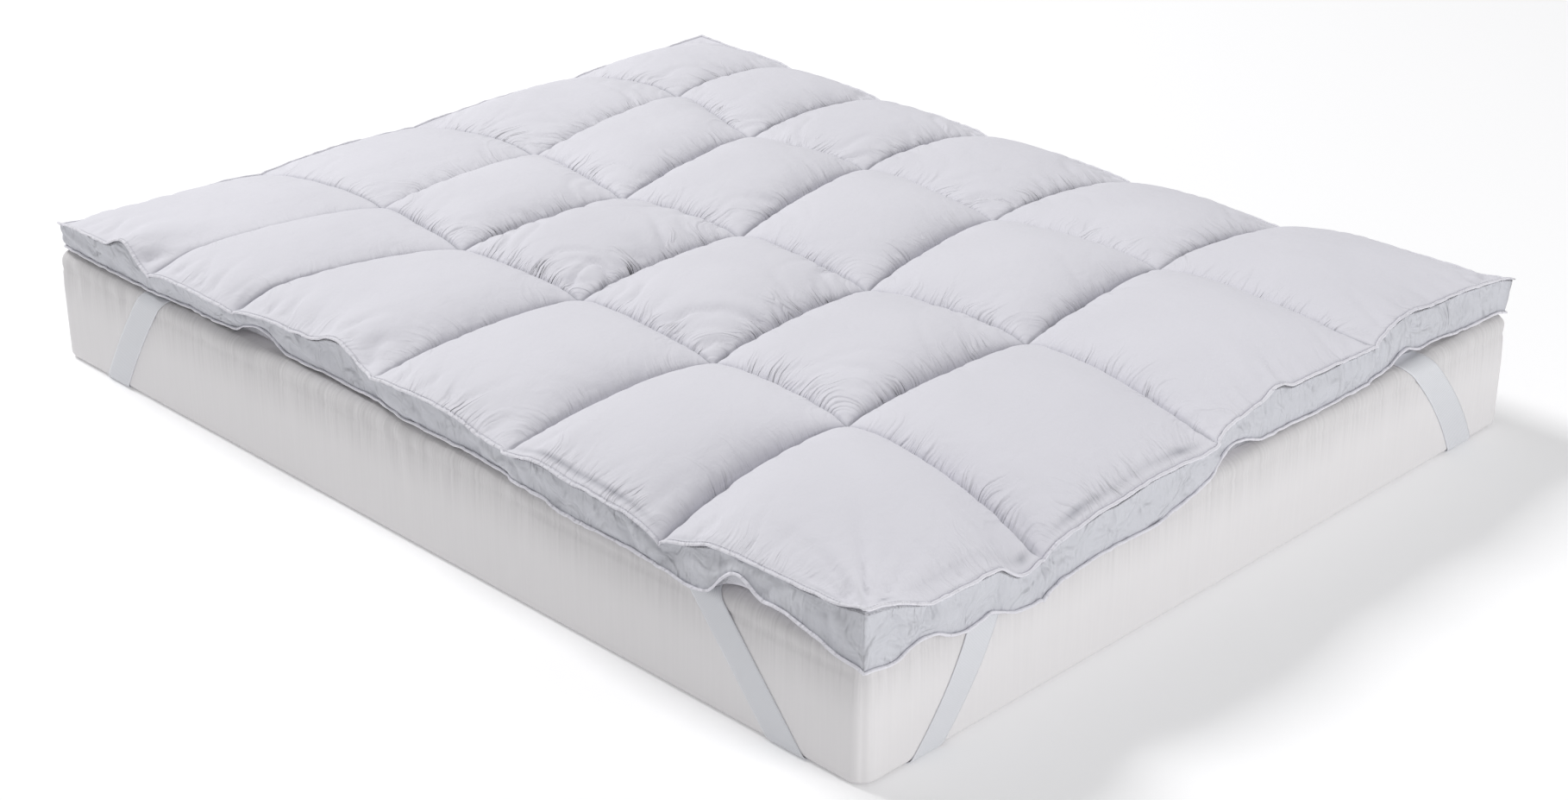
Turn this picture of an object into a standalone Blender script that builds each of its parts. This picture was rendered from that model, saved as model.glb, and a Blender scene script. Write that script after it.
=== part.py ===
"""Mattress topper: a box-quilted filled pad with a side wall, piped edges and elastic
corner straps, lying on the plain mattress that the straps go round.

Metres, +Z up. X runs along the short sides, Y along the long sides, and the origin is the
middle of the whole part's underside. The pad is wavy at its rim: sewn in at each quilting
line and full between them.
"""

import math

import bmesh
import bpy
from mathutils import Vector

MM = 0.001

# Mattress
MATTRESS_WIDTH = 1.600
MATTRESS_LENGTH = 2.000
MATTRESS_HEIGHT = 0.205
UPRIGHT_CORNER_RADIUS = 0.030
TOP_EDGE_RADIUS = 0.020
BOTTOM_EDGE_RADIUS = 0.012
TOP_SEGMENTS = 4
BOTTOM_SEGMENTS = 3
MATTRESS_SHARP_ANGLE = math.radians(35)

# Quilting: boxes across and along, and how far the stitched channels and the full boxes
# stand above the mattress
COLUMNS = 4
ROWS = 6
CHANNEL_HEIGHT = 0.076
JUNCTION_DIP = 0.007
JUNCTION_REACH = 0.16
INNER_PUFF = (2.5, 0.62)
RIM_PUFF = (2.1, 0.80)
CELL_STEPS = (0.0, 0.06, 0.17, 0.33, 0.5, 0.67, 0.83, 0.94)
WAVE_SHARPNESS = 0.6

# Side wall and underside
WALL_BULGE = 0.002
WALL_STEPS = (0.33, 0.67)
TUCK_INSET = 0.006
TUCK_HEIGHT = 0.0028
TUCK_LIFT_SHARE = 0.3
MARGIN_INSET = 0.045
MARGIN_HEIGHT = 0.0026
REST_INSET = 0.100
GAP = 0.0003

# Piped edges and straps
PIPING_RADIUS = 0.0032
PIPING_CLEARANCE = 0.0007
STRAP_WIDTH = 0.055
STRAP_THICKNESS = 0.0016
STRAP_BEND_RADIUS = 0.006
STRAP_TUCK = 0.025
STRAP_FACE_STEPS = 10
STRAP_BEND_STEPS = 4
CORNER_RELIEF = 0.0025
RELIEF_MARGIN = 0.020
CUTTER_OVERHANG = 0.050
CUTTER_DEPTH = 0.020
CLOTH_SHARP_ANGLE = math.radians(50)

# Distance of each quilting line from the front corner, where it meets the pad's edges and
# the lines that cross it
ACROSS_LINES = (
    # near edge, then at lines 1 to 5 along the bed, far edge
    (0.000, 0.000, 0.000, 0.000, 0.000, 0.000, 0.000),
    (0.350, 0.388, 0.396, 0.412, 0.408, 0.435, 0.440),
    (0.752, 0.800, 0.775, 0.790, 0.765, 0.800, 0.800),
    (1.175, 1.190, 1.160, 1.180, 1.150, 1.215, 1.210),
    (1.600, 1.600, 1.600, 1.600, 1.600, 1.600, 1.600),
)
ALONG_LINES = (
    # left edge, then at lines 1 to 3 across the bed, right edge
    (0.000, 0.000, 0.000, 0.000, 0.000),
    (0.385, 0.402, 0.405, 0.445, 0.440),
    (0.722, 0.702, 0.729, 0.785, 0.785),
    (1.052, 1.034, 1.048, 1.120, 1.137),
    (1.440, 1.340, 1.325, 1.390, 1.434),
    (1.672, 1.598, 1.608, 1.665, 1.700),
    (2.000, 2.000, 2.000, 2.000, 2.000),
)

# Crown of each box above the channels, millimetres: a row for each row of boxes from the
# near short side, a column for each box from the left
CROWNS = (
    (56, 58, 54, 40),
    (54, 51, 50, 34),
    (50, 50, 48, 34),
    (46, 46, 44, 34),
    (34, 42, 42, 32),
    (20, 24, 26, 26),
)

# The rim, millimetres: reach past the mattress's side and height above its top, of the
# upper and the lower seam. LINES are at the quilting lines and corners, BOXES half-way
# between them. The near short side runs from the front corner to the right, and the near
# long side from the front corner to the left; the far ones run the same ways.
NEAR_SHORT_LINES = (
    # upper reach, upper height, lower reach, lower height
    (12, 76, 12, -12),
    (8, 18, 12, -40),
    (8, 57, 4, 6),
    (0, 76, -10, 8),
    (10, 64, -4, 3),
)
NEAR_SHORT_BOXES = (
    (22, 55, 12, -16),
    (18, 58, 12, -20),
    (-18, 70, -14, 8),
    (-32, 74, -24, 12),
)
NEAR_LONG_LINES = (
    (12, 76, 12, -12),
    (8, 32, 12, -2),
    (10, 55, 0, 10),
    (2, 62, -20, 10),
    (-6, 50, -26, 12),
    (6, 48, -10, 10),
    (-4, 60, -14, 8),
)
NEAR_LONG_BOXES = (
    (4, 70, 12, 2),
    (14, 62, 12, 2),
    (-4, 66, -12, 8),
    (-16, 64, -26, 8),
    (5, 62, -20, 8),
    (0, 68, -14, 8),
)
FAR_SHORT_LINES = (
    (-4, 60, -14, 8),
    (-20, 28, -24, 8),
    (-20, 28, -24, 8),
    (-20, 28, -24, 8),
    (-6, 52, -14, 8),
)
FAR_SHORT_BOXES = (
    (-10, 34, -14, 8),
    (-10, 34, -14, 8),
    (-10, 34, -14, 8),
    (-10, 34, -14, 8),
)
FAR_LONG_LINES = (
    (10, 64, -4, 3),
    (-40, 30, -34, 8),
    (-50, 32, -44, 8),
    (-50, 32, -44, 8),
    (-44, 32, -38, 8),
    (-30, 32, -26, 8),
    (-6, 52, -14, 8),
)
FAR_LONG_BOXES = (
    (-4, 50, -12, 8),
    (-30, 38, -26, 8),
    (-36, 36, -30, 8),
    (-34, 36, -28, 8),
    (-28, 36, -24, 8),
    (-18, 36, -18, 8),
)
SIDES = {
    "front": (NEAR_SHORT_LINES, NEAR_SHORT_BOXES),
    "left": (NEAR_LONG_LINES, NEAR_LONG_BOXES),
    "right": (FAR_LONG_LINES, FAR_LONG_BOXES),
    "back": (FAR_SHORT_LINES, FAR_SHORT_BOXES),
}
CORNERS = (("front", 0, 0), ("front", COLUMNS, 0), ("back", 0, ROWS), ("back", COLUMNS, ROWS))

# Places where a seam puckers up, or sags, between its pinches and its full boxes
UPPER = 0
LOWER = 1
WAVES = (
    # side, seam, centre and half width in boxes, rise in millimetres
    ("front", UPPER, 0.12, 0.22, 20),
    ("front", UPPER, 0.85, 0.17, -26),
    ("front", UPPER, 1.65, 0.30, 8),
    ("front", UPPER, 2.42, 0.12, 14),
    ("front", UPPER, 3.28, 0.25, 10),
    ("front", LOWER, 0.30, 0.18, 17),
    ("front", LOWER, 0.55, 0.15, -8),
    ("front", LOWER, 0.86, 0.20, -16),
    ("front", LOWER, 1.85, 0.25, 9),
    ("front", LOWER, 2.15, 0.20, 22),
    ("front", LOWER, 2.75, 0.30, -3),
    ("front", LOWER, 3.28, 0.12, 14),
    ("front", LOWER, 3.72, 0.20, -6),
    ("left", UPPER, 0.88, 0.14, -8),
    ("left", UPPER, 1.75, 0.22, 9),
    ("left", UPPER, 2.20, 0.25, -10),
    ("left", UPPER, 3.28, 0.22, 24),
    ("left", UPPER, 5.25, 0.18, 24),
    ("left", LOWER, 0.42, 0.38, 26),
    ("left", LOWER, 0.60, 0.14, 30),
    ("left", LOWER, 0.82, 0.15, -9),
    ("left", LOWER, 1.78, 0.25, 10),
    ("left", LOWER, 3.87, 0.20, 22),
)

# Straps: distance from the mattress's corner at the top and the bottom edge, and bow away
# from the corner half-way up, on the long and on the short side
STRAPS = (
    # name,  side x, side y, long top, long bottom, long bow, short top, bottom, bow
    ("strap_front", -1, -1, 0.317, 0.142, 0.000, 0.250, 0.124, 0.018),
    ("strap_left", -1, 1, 0.315, 0.174, -0.006, 0.270, 0.140, 0.000),
    ("strap_right", 1, -1, 0.310, 0.160, 0.000, 0.288, 0.130, -0.016),
    ("strap_back", 1, 1, 0.310, 0.160, 0.000, 0.270, 0.140, 0.000),
)


def clear_scene():
    for item in list(bpy.data.objects):
        bpy.data.objects.remove(item, do_unlink=True)


def new_collection(name):
    made = bpy.data.collections.new(name)
    bpy.context.scene.collection.children.link(made)
    return made


def fabric_material(name, colour, roughness):
    material = bpy.data.materials.new(name)
    material.use_nodes = True
    shader = material.node_tree.nodes["Principled BSDF"]
    shader.inputs["Base Color"].default_value = (*colour, 1.0)
    shader.inputs["Roughness"].default_value = roughness
    shader.inputs["Metallic"].default_value = 0.0
    return material


def mesh_object(name, bm, material, collection, parent):
    bmesh.ops.recalc_face_normals(bm, faces=bm.faces)
    mesh = bpy.data.meshes.new(name)
    bm.to_mesh(mesh)
    bm.free()
    made = bpy.data.objects.new(name, mesh)
    if material:
        mesh.materials.append(material)
    collection.objects.link(made)
    made.parent = parent
    return made


# ---- the pad's plan and heights -------------------------------------------------------


def box_of(place, count):
    """The box that a place lies in, and how far through it, from 0 to 1."""
    box = min(int(place), count - 1)
    return box, place - box


def smooth_through(values, place):
    """The smooth curve through values that stand at places 0, 1, 2 and on."""
    box, part = box_of(place, len(values) - 1)
    start, end = values[box], values[box + 1]
    leaving = (end - values[box - 1]) / 2 if box > 0 else end - start
    arriving = (values[box + 2] - start) / 2 if box + 2 < len(values) else end - start
    second = 3 * (end - start) - 2 * leaving - arriving
    third = leaving + arriving - 2 * (end - start)
    return start + part * (leaving + part * (second + part * third))


def line_place(lines, place, count, crossing):
    """Where a place in boxes lies between two lines, at a place along them."""
    box, part = box_of(place, count)
    start = smooth_through(lines[box], crossing)
    end = smooth_through(lines[box + 1], crossing)
    return start + (end - start) * part


def wave(side, place, seam):
    """How far a seam rises here above its even wave, in metres."""
    rise = 0.0
    for waved_side, waved_seam, centre, half_width, height in WAVES:
        if (side, seam) == (waved_side, waved_seam):
            rise += height * MM * max(0.0, 1 - ((place - centre) / half_width) ** 2) ** 2
    return rise


def rim(side, place, seam):
    """Reach and height of a seam along a side."""
    lines, boxes = SIDES[side]
    box, part = box_of(place, len(boxes))
    full = (4 * part * (1 - part)) ** WAVE_SHARPNESS
    found = []
    for column in (2 * seam, 2 * seam + 1):
        start = lines[box][column]
        pinched = start + (lines[box + 1][column] - start) * part
        found.append((pinched + (boxes[box][column] - pinched) * full) * MM)
    reach, height = found
    return reach, height + wave(side, place, seam)


def nearness(place):
    """1 at the rim, falling to 0 a box in from it."""
    return max(0.0, 1.0 - place) ** 2


def mixed_rim(side, place, down):
    """Reach and height between the upper seam, down = 0, and the lower one, down = 1."""
    upper = rim(side, place, UPPER)
    lower = rim(side, place, LOWER)
    reach = upper[0] + (lower[0] - upper[0]) * down + WALL_BULGE * 4 * down * (1 - down)
    return reach, upper[1] + (lower[1] - upper[1]) * down


def plan(p, q, down=0.0, inset=0.0):
    """Where box coordinates p, q lie, from the front corner, with the rim's reach."""
    x = line_place(ACROSS_LINES, p, COLUMNS, q)
    y = line_place(ALONG_LINES, q, ROWS, p)
    x -= (mixed_rim("left", q, down)[0] - inset) * nearness(p)
    x += (mixed_rim("right", q, down)[0] - inset) * nearness(COLUMNS - p)
    y -= (mixed_rim("front", p, down)[0] - inset) * nearness(q)
    y += (mixed_rim("back", p, down)[0] - inset) * nearness(ROWS - q)
    return x, y


def puff(part, starts_at_rim, ends_at_rim):
    """Height of a box across one direction, 0 at its seams and 1 in its middle."""
    at_rim = starts_at_rim if part < 0.5 else ends_at_rim
    power, root = RIM_PUFF if at_rim else INNER_PUFF
    return max(0.0, 1.0 - abs(2 * part - 1) ** power) ** root


def top_height(p, q):
    column, s = box_of(p, COLUMNS)
    row, t = box_of(q, ROWS)
    height = CHANNEL_HEIGHT
    for side, place, away in (
        ("left", q, p),
        ("right", q, COLUMNS - p),
        ("front", p, q),
        ("back", p, ROWS - q),
    ):
        height += (rim(side, place, UPPER)[1] - CHANNEL_HEIGHT) * nearness(away)
    for side, corner_p, corner_q in CORNERS:
        shared = nearness(abs(p - corner_p)) * nearness(abs(q - corner_q))
        height -= (rim(side, corner_p, UPPER)[1] - CHANNEL_HEIGHT) * shared
    across = puff(s, column == 0, column == COLUMNS - 1)
    along = puff(t, row == 0, row == ROWS - 1)
    from_junction = math.hypot(p - round(p), q - round(q))
    inner = 0 < round(p) < COLUMNS and 0 < round(q) < ROWS
    dip = JUNCTION_DIP * max(0.0, 1 - from_junction / JUNCTION_REACH) ** 2 if inner else 0
    return height + CROWNS[row][column] * MM * across * along - dip


# ---- the pad --------------------------------------------------------------------------


def grid_places(count):
    places = [box + step for box in range(count) for step in CELL_STEPS]
    return places + [float(count)]


def rim_walk(across, along):
    """Side, place along it and grid coordinates of each rim point, all the way round."""
    walk = [("front", p, p, 0.0) for p in across[:-1]]
    walk += [("right", q, float(COLUMNS), q) for q in along[:-1]]
    walk += [("back", p, p, float(ROWS)) for p in reversed(across[1:])]
    walk += [("left", q, 0.0, q) for q in reversed(along[1:])]
    return walk


def rim_ring(walk, down):
    """Points on the side wall, a share of the way down from the upper seam."""
    ring = []
    for side, place, p, q in walk:
        x, y = plan(p, q, down)
        ring.append(Vector((x, y, MATTRESS_HEIGHT + mixed_rim(side, place, down)[1])))
    return ring


def underside_ring(walk, inset, height):
    """Points under the pad, inset from its lower seam or from the mattress's side."""
    ring = []
    for side, place, p, q in walk:
        reach, rise = rim(side, place, LOWER)
        x, y = plan(p, q, 1.0, inset + max(0.0, reach))
        ring.append(Vector((x, y, MATTRESS_HEIGHT + height(rise))))
    return ring


def tuck_height(rise):
    """Height just inside the lower seam: the cloth follows a raised seam part of the way."""
    return TUCK_HEIGHT + TUCK_LIFT_SHARE * max(0.0, rise)


def make_pad(material, collection, parent):
    across = grid_places(COLUMNS)
    along = grid_places(ROWS)
    walk = rim_walk(across, along)
    bm = bmesh.new()
    top = {}
    for p in across:
        for q in along:
            x, y = plan(p, q)
            top[p, q] = bm.verts.new((x, y, MATTRESS_HEIGHT + top_height(p, q)))
    for p, next_p in zip(across, across[1:]):
        for q, next_q in zip(along, along[1:]):
            bm.faces.new((top[p, q], top[next_p, q], top[next_p, next_q], top[p, next_q]))
    rings = [rim_ring(walk, down) for down in WALL_STEPS + (1.0,)]
    rings.append(underside_ring(walk, TUCK_INSET, tuck_height))
    rings.append(underside_ring(walk, MARGIN_INSET, lambda rise: MARGIN_HEIGHT))
    rings.append(underside_ring(walk, REST_INSET, lambda rise: GAP))
    upper = [top[p, q] for _, _, p, q in walk]
    for ring in rings:
        lower = [bm.verts.new(point) for point in ring]
        for i, vertex in enumerate(upper):
            j = (i + 1) % len(upper)
            bm.faces.new((vertex, lower[i], lower[j], upper[j]))
        upper = lower
    bmesh.ops.triangulate(bm, faces=[bm.faces.new(upper)])
    pad = mesh_object("topper", bm, material, collection, parent)
    pad.data.shade_smooth()
    pad.data.set_sharp_from_angle(angle=CLOTH_SHARP_ANGLE)
    return pad


# ---- piped edges ----------------------------------------------------------------------


def outside_of(ring, distance):
    """A closed ring of points moved out sideways, keeping that distance round bends."""
    moved = []
    for i, point in enumerate(ring):
        before = (point - ring[i - 1]).xy.normalized()
        after = (ring[(i + 1) % len(ring)] - point).xy.normalized()
        out = Vector((before.y + after.y, -before.x - after.x)).normalized()
        half_turn = math.acos(max(-1.0, min(1.0, before.dot(after)))) / 2
        out *= distance / math.cos(half_turn)
        moved.append(point + Vector((out.x, out.y, 0.0)))
    return moved


def make_piping(name, down, material, collection, parent):
    walk = rim_walk(grid_places(COLUMNS), grid_places(ROWS))
    ring = outside_of(rim_ring(walk, down), PIPING_RADIUS + PIPING_CLEARANCE)
    curve = bpy.data.curves.new(name, "CURVE")
    curve.dimensions = "3D"
    curve.bevel_depth = PIPING_RADIUS
    curve.bevel_resolution = 1
    spline = curve.splines.new("POLY")
    spline.points.add(len(ring) - 1)
    for knot, point in zip(spline.points, ring):
        knot.co = (*point, 1.0)
    spline.use_cyclic_u = True
    curve.materials.append(material)
    piping = bpy.data.objects.new(name, curve)
    collection.objects.link(piping)
    piping.parent = parent
    return piping


# ---- mattress -------------------------------------------------------------------------


def edges_at(bm, test):
    return [edge for edge in bm.edges if all(test(vertex.co) for vertex in edge.verts)]


def bevel(bm, edges, radius, segments):
    bmesh.ops.bevel(
        bm, geom=edges, offset=radius, segments=segments, profile=0.5, affect="EDGES"
    )


def make_mattress(material, collection, parent):
    bm = bmesh.new()
    bmesh.ops.create_cube(bm, size=1.0)
    bmesh.ops.scale(bm, verts=bm.verts, vec=(MATTRESS_WIDTH, MATTRESS_LENGTH, MATTRESS_HEIGHT))
    middle = (MATTRESS_WIDTH / 2, MATTRESS_LENGTH / 2, MATTRESS_HEIGHT / 2)
    bmesh.ops.translate(bm, verts=bm.verts, vec=middle)
    upright = [edge for edge in bm.edges if edge.verts[0].co.xy == edge.verts[1].co.xy]
    bevel(bm, upright, UPRIGHT_CORNER_RADIUS, TOP_SEGMENTS)
    top_edges = edges_at(bm, lambda co: co.z > MATTRESS_HEIGHT - MM)
    bevel(bm, top_edges, TOP_EDGE_RADIUS, TOP_SEGMENTS)
    bevel(bm, edges_at(bm, lambda co: co.z < MM), BOTTOM_EDGE_RADIUS, BOTTOM_SEGMENTS)
    mattress = mesh_object("mattress", bm, material, collection, parent)
    mattress.data.shade_smooth()
    mattress.data.set_sharp_from_angle(angle=MATTRESS_SHARP_ANGLE)
    return mattress


def relieve_corner(mattress, strap, cutters, parent):
    """Takes a thin wedge off the underside where a strap passes beneath the corner."""
    name, side_x, side_y, _, long_bottom, _, _, short_bottom, _ = strap
    long_leg = long_bottom + STRAP_WIDTH / 2 + RELIEF_MARGIN
    short_leg = short_bottom + STRAP_WIDTH / 2 + RELIEF_MARGIN
    corner = at_corner(side_x, side_y)
    outside = -CUTTER_OVERHANG
    outline = (
        (outside, outside),
        (outside, long_leg),
        (0.0, long_leg),
        (short_leg, 0.0),
        (short_leg, outside),
    )
    bm = bmesh.new()
    low = [bm.verts.new((*corner(inward, along), -CUTTER_DEPTH)) for inward, along in outline]
    base = bm.faces.new(low)
    raised = bmesh.ops.extrude_face_region(bm, geom=[base])["geom"]
    lifted = [item for item in raised if isinstance(item, bmesh.types.BMVert)]
    bmesh.ops.translate(bm, verts=lifted, vec=(0.0, 0.0, CUTTER_DEPTH + CORNER_RELIEF))
    cutter = mesh_object(name + "_relief", bm, None, cutters, parent)
    cutter.hide_render = True
    cutter.display_type = "WIRE"
    cut = mattress.modifiers.new("relief", "BOOLEAN")
    cut.operation = "DIFFERENCE"
    cut.object = cutter


def at_corner(side_x, side_y):
    """Turns distances inward from the two sides of a corner into a plan point."""
    corner_x = MATTRESS_WIDTH if side_x > 0 else 0.0
    corner_y = MATTRESS_LENGTH if side_y > 0 else 0.0

    def place(inward_x, inward_y):
        return corner_x - side_x * inward_x, corner_y - side_y * inward_y

    return place


# ---- straps ---------------------------------------------------------------------------


def profile_up_the_side():
    """Sections from under the mattress to the tuck under the pad: outward reach and height
    of the strap's inner surface, its outward direction, and how far up the face it is."""
    found = []
    bottom_middle = (GAP - STRAP_BEND_RADIUS, STRAP_THICKNESS + GAP + STRAP_BEND_RADIUS)
    for step in range(STRAP_BEND_STEPS + 1):
        angle = math.radians(90 * (1 - step / STRAP_BEND_STEPS))
        out = bottom_middle[0] + STRAP_BEND_RADIUS * math.cos(angle)
        up = bottom_middle[1] - STRAP_BEND_RADIUS * math.sin(angle)
        found.append((out, up, math.cos(angle), -math.sin(angle)))
    start = found[-1][1]
    top_middle = (-TOP_EDGE_RADIUS, MATTRESS_HEIGHT - TOP_EDGE_RADIUS)
    for step in range(1, STRAP_FACE_STEPS):
        up = start + (top_middle[1] - start) * step / STRAP_FACE_STEPS
        found.append((GAP, up, 1.0, 0.0))
    radius = TOP_EDGE_RADIUS + GAP
    for step in range(STRAP_BEND_STEPS + 1):
        angle = math.radians(90 * step / STRAP_BEND_STEPS)
        out = top_middle[0] + radius * math.cos(angle)
        up = top_middle[1] + radius * math.sin(angle)
        found.append((out, up, math.cos(angle), math.sin(angle)))
    out, up, _, _ = found[-1]
    found.append((out - STRAP_TUCK, up, 0.0, 1.0))
    return found


def side_sections(top, bottom, bow):
    """Sections of the strap on one side of its corner, as distances out from the side,
    along it from the corner, and up."""
    slant = math.hypot(1.0, (top - bottom) / MATTRESS_HEIGHT)
    half = STRAP_WIDTH * slant / 2
    sections = []
    for out, up, normal_out, normal_up in profile_up_the_side():
        share = min(1.0, up / MATTRESS_HEIGHT)
        middle = bottom + (top - bottom) * share + bow * 4 * share * (1 - share)
        outer_out = out + STRAP_THICKNESS * normal_out
        outer_up = up + STRAP_THICKNESS * normal_up
        sections.append(
            (
                (out, middle - half, up),
                (out, middle + half, up),
                (outer_out, middle + half, outer_up),
                (outer_out, middle - half, outer_up),
            )
        )
    return sections


def make_strap(strap, material, collection, parent):
    name, side_x, side_y, long_top, long_bottom, long_bow, short_top, short_bottom, short_bow = strap
    corner = at_corner(side_x, side_y)
    sections = []
    for section in reversed(side_sections(long_top, long_bottom, long_bow)):
        sections.append([(*corner(-out, along), up) for out, along, up in section])
    for section in side_sections(short_top, short_bottom, short_bow):
        sections.append([(*corner(along, -out), up) for out, along, up in section])
    bm = bmesh.new()
    loops = [[bm.verts.new(point) for point in section] for section in sections]
    for loop, following in zip(loops, loops[1:]):
        for i in range(4):
            j = (i + 1) % 4
            bm.faces.new((loop[i], loop[j], following[j], following[i]))
    bm.faces.new(loops[0])
    bm.faces.new(loops[-1])
    band = mesh_object(name, bm, material, collection, parent)
    band.data.shade_smooth()
    band.data.set_sharp_from_angle(angle=CLOTH_SHARP_ANGLE)
    return band


# ---- the whole part -------------------------------------------------------------------


def centre_over_origin(root, objects):
    """Moves the part so that the middle of its underside is the origin."""
    bpy.context.view_layer.update()
    graph = bpy.context.evaluated_depsgraph_get()
    points = []
    for item in objects:
        solid = item.evaluated_get(graph)
        mesh = solid.to_mesh()
        points += [solid.matrix_world @ vertex.co for vertex in mesh.vertices]
        solid.to_mesh_clear()
    low = [min(point[axis] for point in points) for axis in range(3)]
    high = [max(point[axis] for point in points) for axis in range(3)]
    root.location = (-(low[0] + high[0]) / 2, -(low[1] + high[1]) / 2, -low[2])


def main():
    clear_scene()
    collection = new_collection("mattress_topper")
    cutters = new_collection("cutters")
    root = bpy.data.objects.new("mattress_topper_root", None)
    collection.objects.link(root)
    pad_cloth = fabric_material("down_proof_cotton", (0.86, 0.86, 0.89), 0.75)
    piping_cloth = fabric_material("piping_cotton", (0.88, 0.88, 0.91), 0.70)
    elastic = fabric_material("woven_elastic", (0.72, 0.73, 0.76), 0.50)
    cover_cloth = fabric_material("mattress_cover_knit", (0.86, 0.85, 0.86), 0.80)
    mattress = make_mattress(cover_cloth, collection, root)
    parts = [mattress, make_pad(pad_cloth, collection, root)]
    parts.append(make_piping("upper_piping", 0.0, piping_cloth, collection, root))
    parts.append(make_piping("lower_piping", 1.0, piping_cloth, collection, root))
    for strap in STRAPS:
        relieve_corner(mattress, strap, cutters, root)
        parts.append(make_strap(strap, elastic, collection, root))
    centre_over_origin(root, parts)


main()
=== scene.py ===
import math

import bpy
import numpy as np
from mathutils import Matrix, Vector


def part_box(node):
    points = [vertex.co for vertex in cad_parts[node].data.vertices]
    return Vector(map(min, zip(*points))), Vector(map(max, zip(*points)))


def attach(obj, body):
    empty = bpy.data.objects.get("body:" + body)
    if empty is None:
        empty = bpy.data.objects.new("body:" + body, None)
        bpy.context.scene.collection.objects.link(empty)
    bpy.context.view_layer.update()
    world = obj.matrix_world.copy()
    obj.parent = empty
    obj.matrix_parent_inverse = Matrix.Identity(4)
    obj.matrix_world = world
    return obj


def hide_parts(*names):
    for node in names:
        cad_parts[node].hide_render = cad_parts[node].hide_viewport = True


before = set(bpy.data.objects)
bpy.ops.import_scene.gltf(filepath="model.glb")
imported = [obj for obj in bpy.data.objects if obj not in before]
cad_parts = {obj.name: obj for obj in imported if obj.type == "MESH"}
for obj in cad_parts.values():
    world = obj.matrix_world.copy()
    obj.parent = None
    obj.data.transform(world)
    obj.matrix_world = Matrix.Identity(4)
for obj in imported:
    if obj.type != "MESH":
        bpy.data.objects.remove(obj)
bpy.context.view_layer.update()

# A box-quilted mattress topper on its mattress. Metres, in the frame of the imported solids:
# X runs along the short sides, Y along the long ones. Every piece is worked out from the
# mattress's front corner, the one nearest the camera, and mm is one millimetre.
mm = 0.001
corner = np.array(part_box("mattress")[0])
mattressSize = {"width": 1.600, "length": 2.000, "height": 0.205}
columns, rows = 4, 6  # quilted boxes across and along


def note(text):
    print("topper scene:", text, flush=True)


# small tools: meshes, noise, nodes

def placed(name, data):
    thing = bpy.data.objects.new(name, data)
    bpy.context.scene.collection.objects.link(thing)
    return thing


def meshPiece(name, points, faces, material, replaces=()):
    mesh = bpy.data.meshes.new(name)
    mesh.from_pydata((points + corner).tolist(), [], faces)
    mesh.materials.append(material)
    mesh.shade_smooth()
    piece = placed(name, mesh)
    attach(piece, "root")
    if replaces:
        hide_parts(*replaces)
    return piece


def sharpenSeams(piece, *rings):
    # the shading turns at once where two panels are sewn together
    ends = np.empty(len(piece.data.edges) * 2, int)
    piece.data.edges.foreach_get("vertices", ends)
    sharp = np.zeros(len(ends) // 2, bool)
    for ring in rings:
        sharp |= np.isin(ends, ring).reshape(-1, 2).all(axis=1)
    made = piece.data.attributes.new("sharp_edge", "BOOLEAN", "EDGE")
    made.data.foreach_set("value", sharp)


def setAttributes(piece, **attributes):
    # values at the points, which the materials read by name
    for name, values in attributes.items():
        made = piece.data.attributes.new(name, "FLOAT", "POINT")
        made.data.foreach_set("value", np.asarray(values, np.float32).ravel())


def ripple(u, v, seed):
    # smooth random heights from -1 to 1 on a grid one unit wide, the same on every run
    table = np.random.default_rng(seed).uniform(-1, 1, (64, 64))
    iu, iv = np.floor(u).astype(int), np.floor(v).astype(int)
    fu, fv = eased(u - iu), eased(v - iv)
    low = table[iu % 64, iv % 64] * (1 - fu) + table[(iu + 1) % 64, iv % 64] * fu
    high = table[iu % 64, (iv + 1) % 64] * (1 - fu) + table[(iu + 1) % 64, (iv + 1) % 64] * fu
    return low * (1 - fv) + high * fv


def eased(share):
    share = np.clip(share, 0, 1)
    return share * share * (3 - 2 * share)


def nearness(away):
    return np.clip(1 - away, 0, 1) ** 2


def outwardOf(ring):
    # directions along a closed ring, and level outwards from it
    before = ring - np.roll(ring, 1, axis=0)
    after = np.roll(ring, -1, axis=0) - ring
    way = before / np.linalg.norm(before, axis=1, keepdims=True)
    way = way + after / np.linalg.norm(after, axis=1, keepdims=True)
    way /= np.linalg.norm(way, axis=1, keepdims=True)
    out = np.stack([way[:, 1], -way[:, 0], way[:, 0] * 0], axis=1)
    return way, out / np.linalg.norm(out, axis=1, keepdims=True)


def lengthAlong(line):
    return np.concatenate([[0], np.cumsum(np.linalg.norm(np.diff(line, axis=0), axis=1))])


def mirrored(along):
    # runs up and down again, so that a pattern meets itself where a ring closes
    return np.minimum(along, along[-1] - along)


def ringFaces(first, second):
    # faces between two closed rings of numbered points
    return np.stack([first, second, np.roll(second, -1), np.roll(first, -1)], axis=1).tolist()


def linearColour(hexValue):
    # sRGB hex to the linear values that a shader takes
    parts = [int(hexValue[i:i + 2], 16) / 255 for i in (1, 3, 5)]
    linear = [c / 12.92 if c <= 0.04045 else ((c + 0.055) / 1.055) ** 2.4 for c in parts]
    return (*linear, 1.0)


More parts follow.
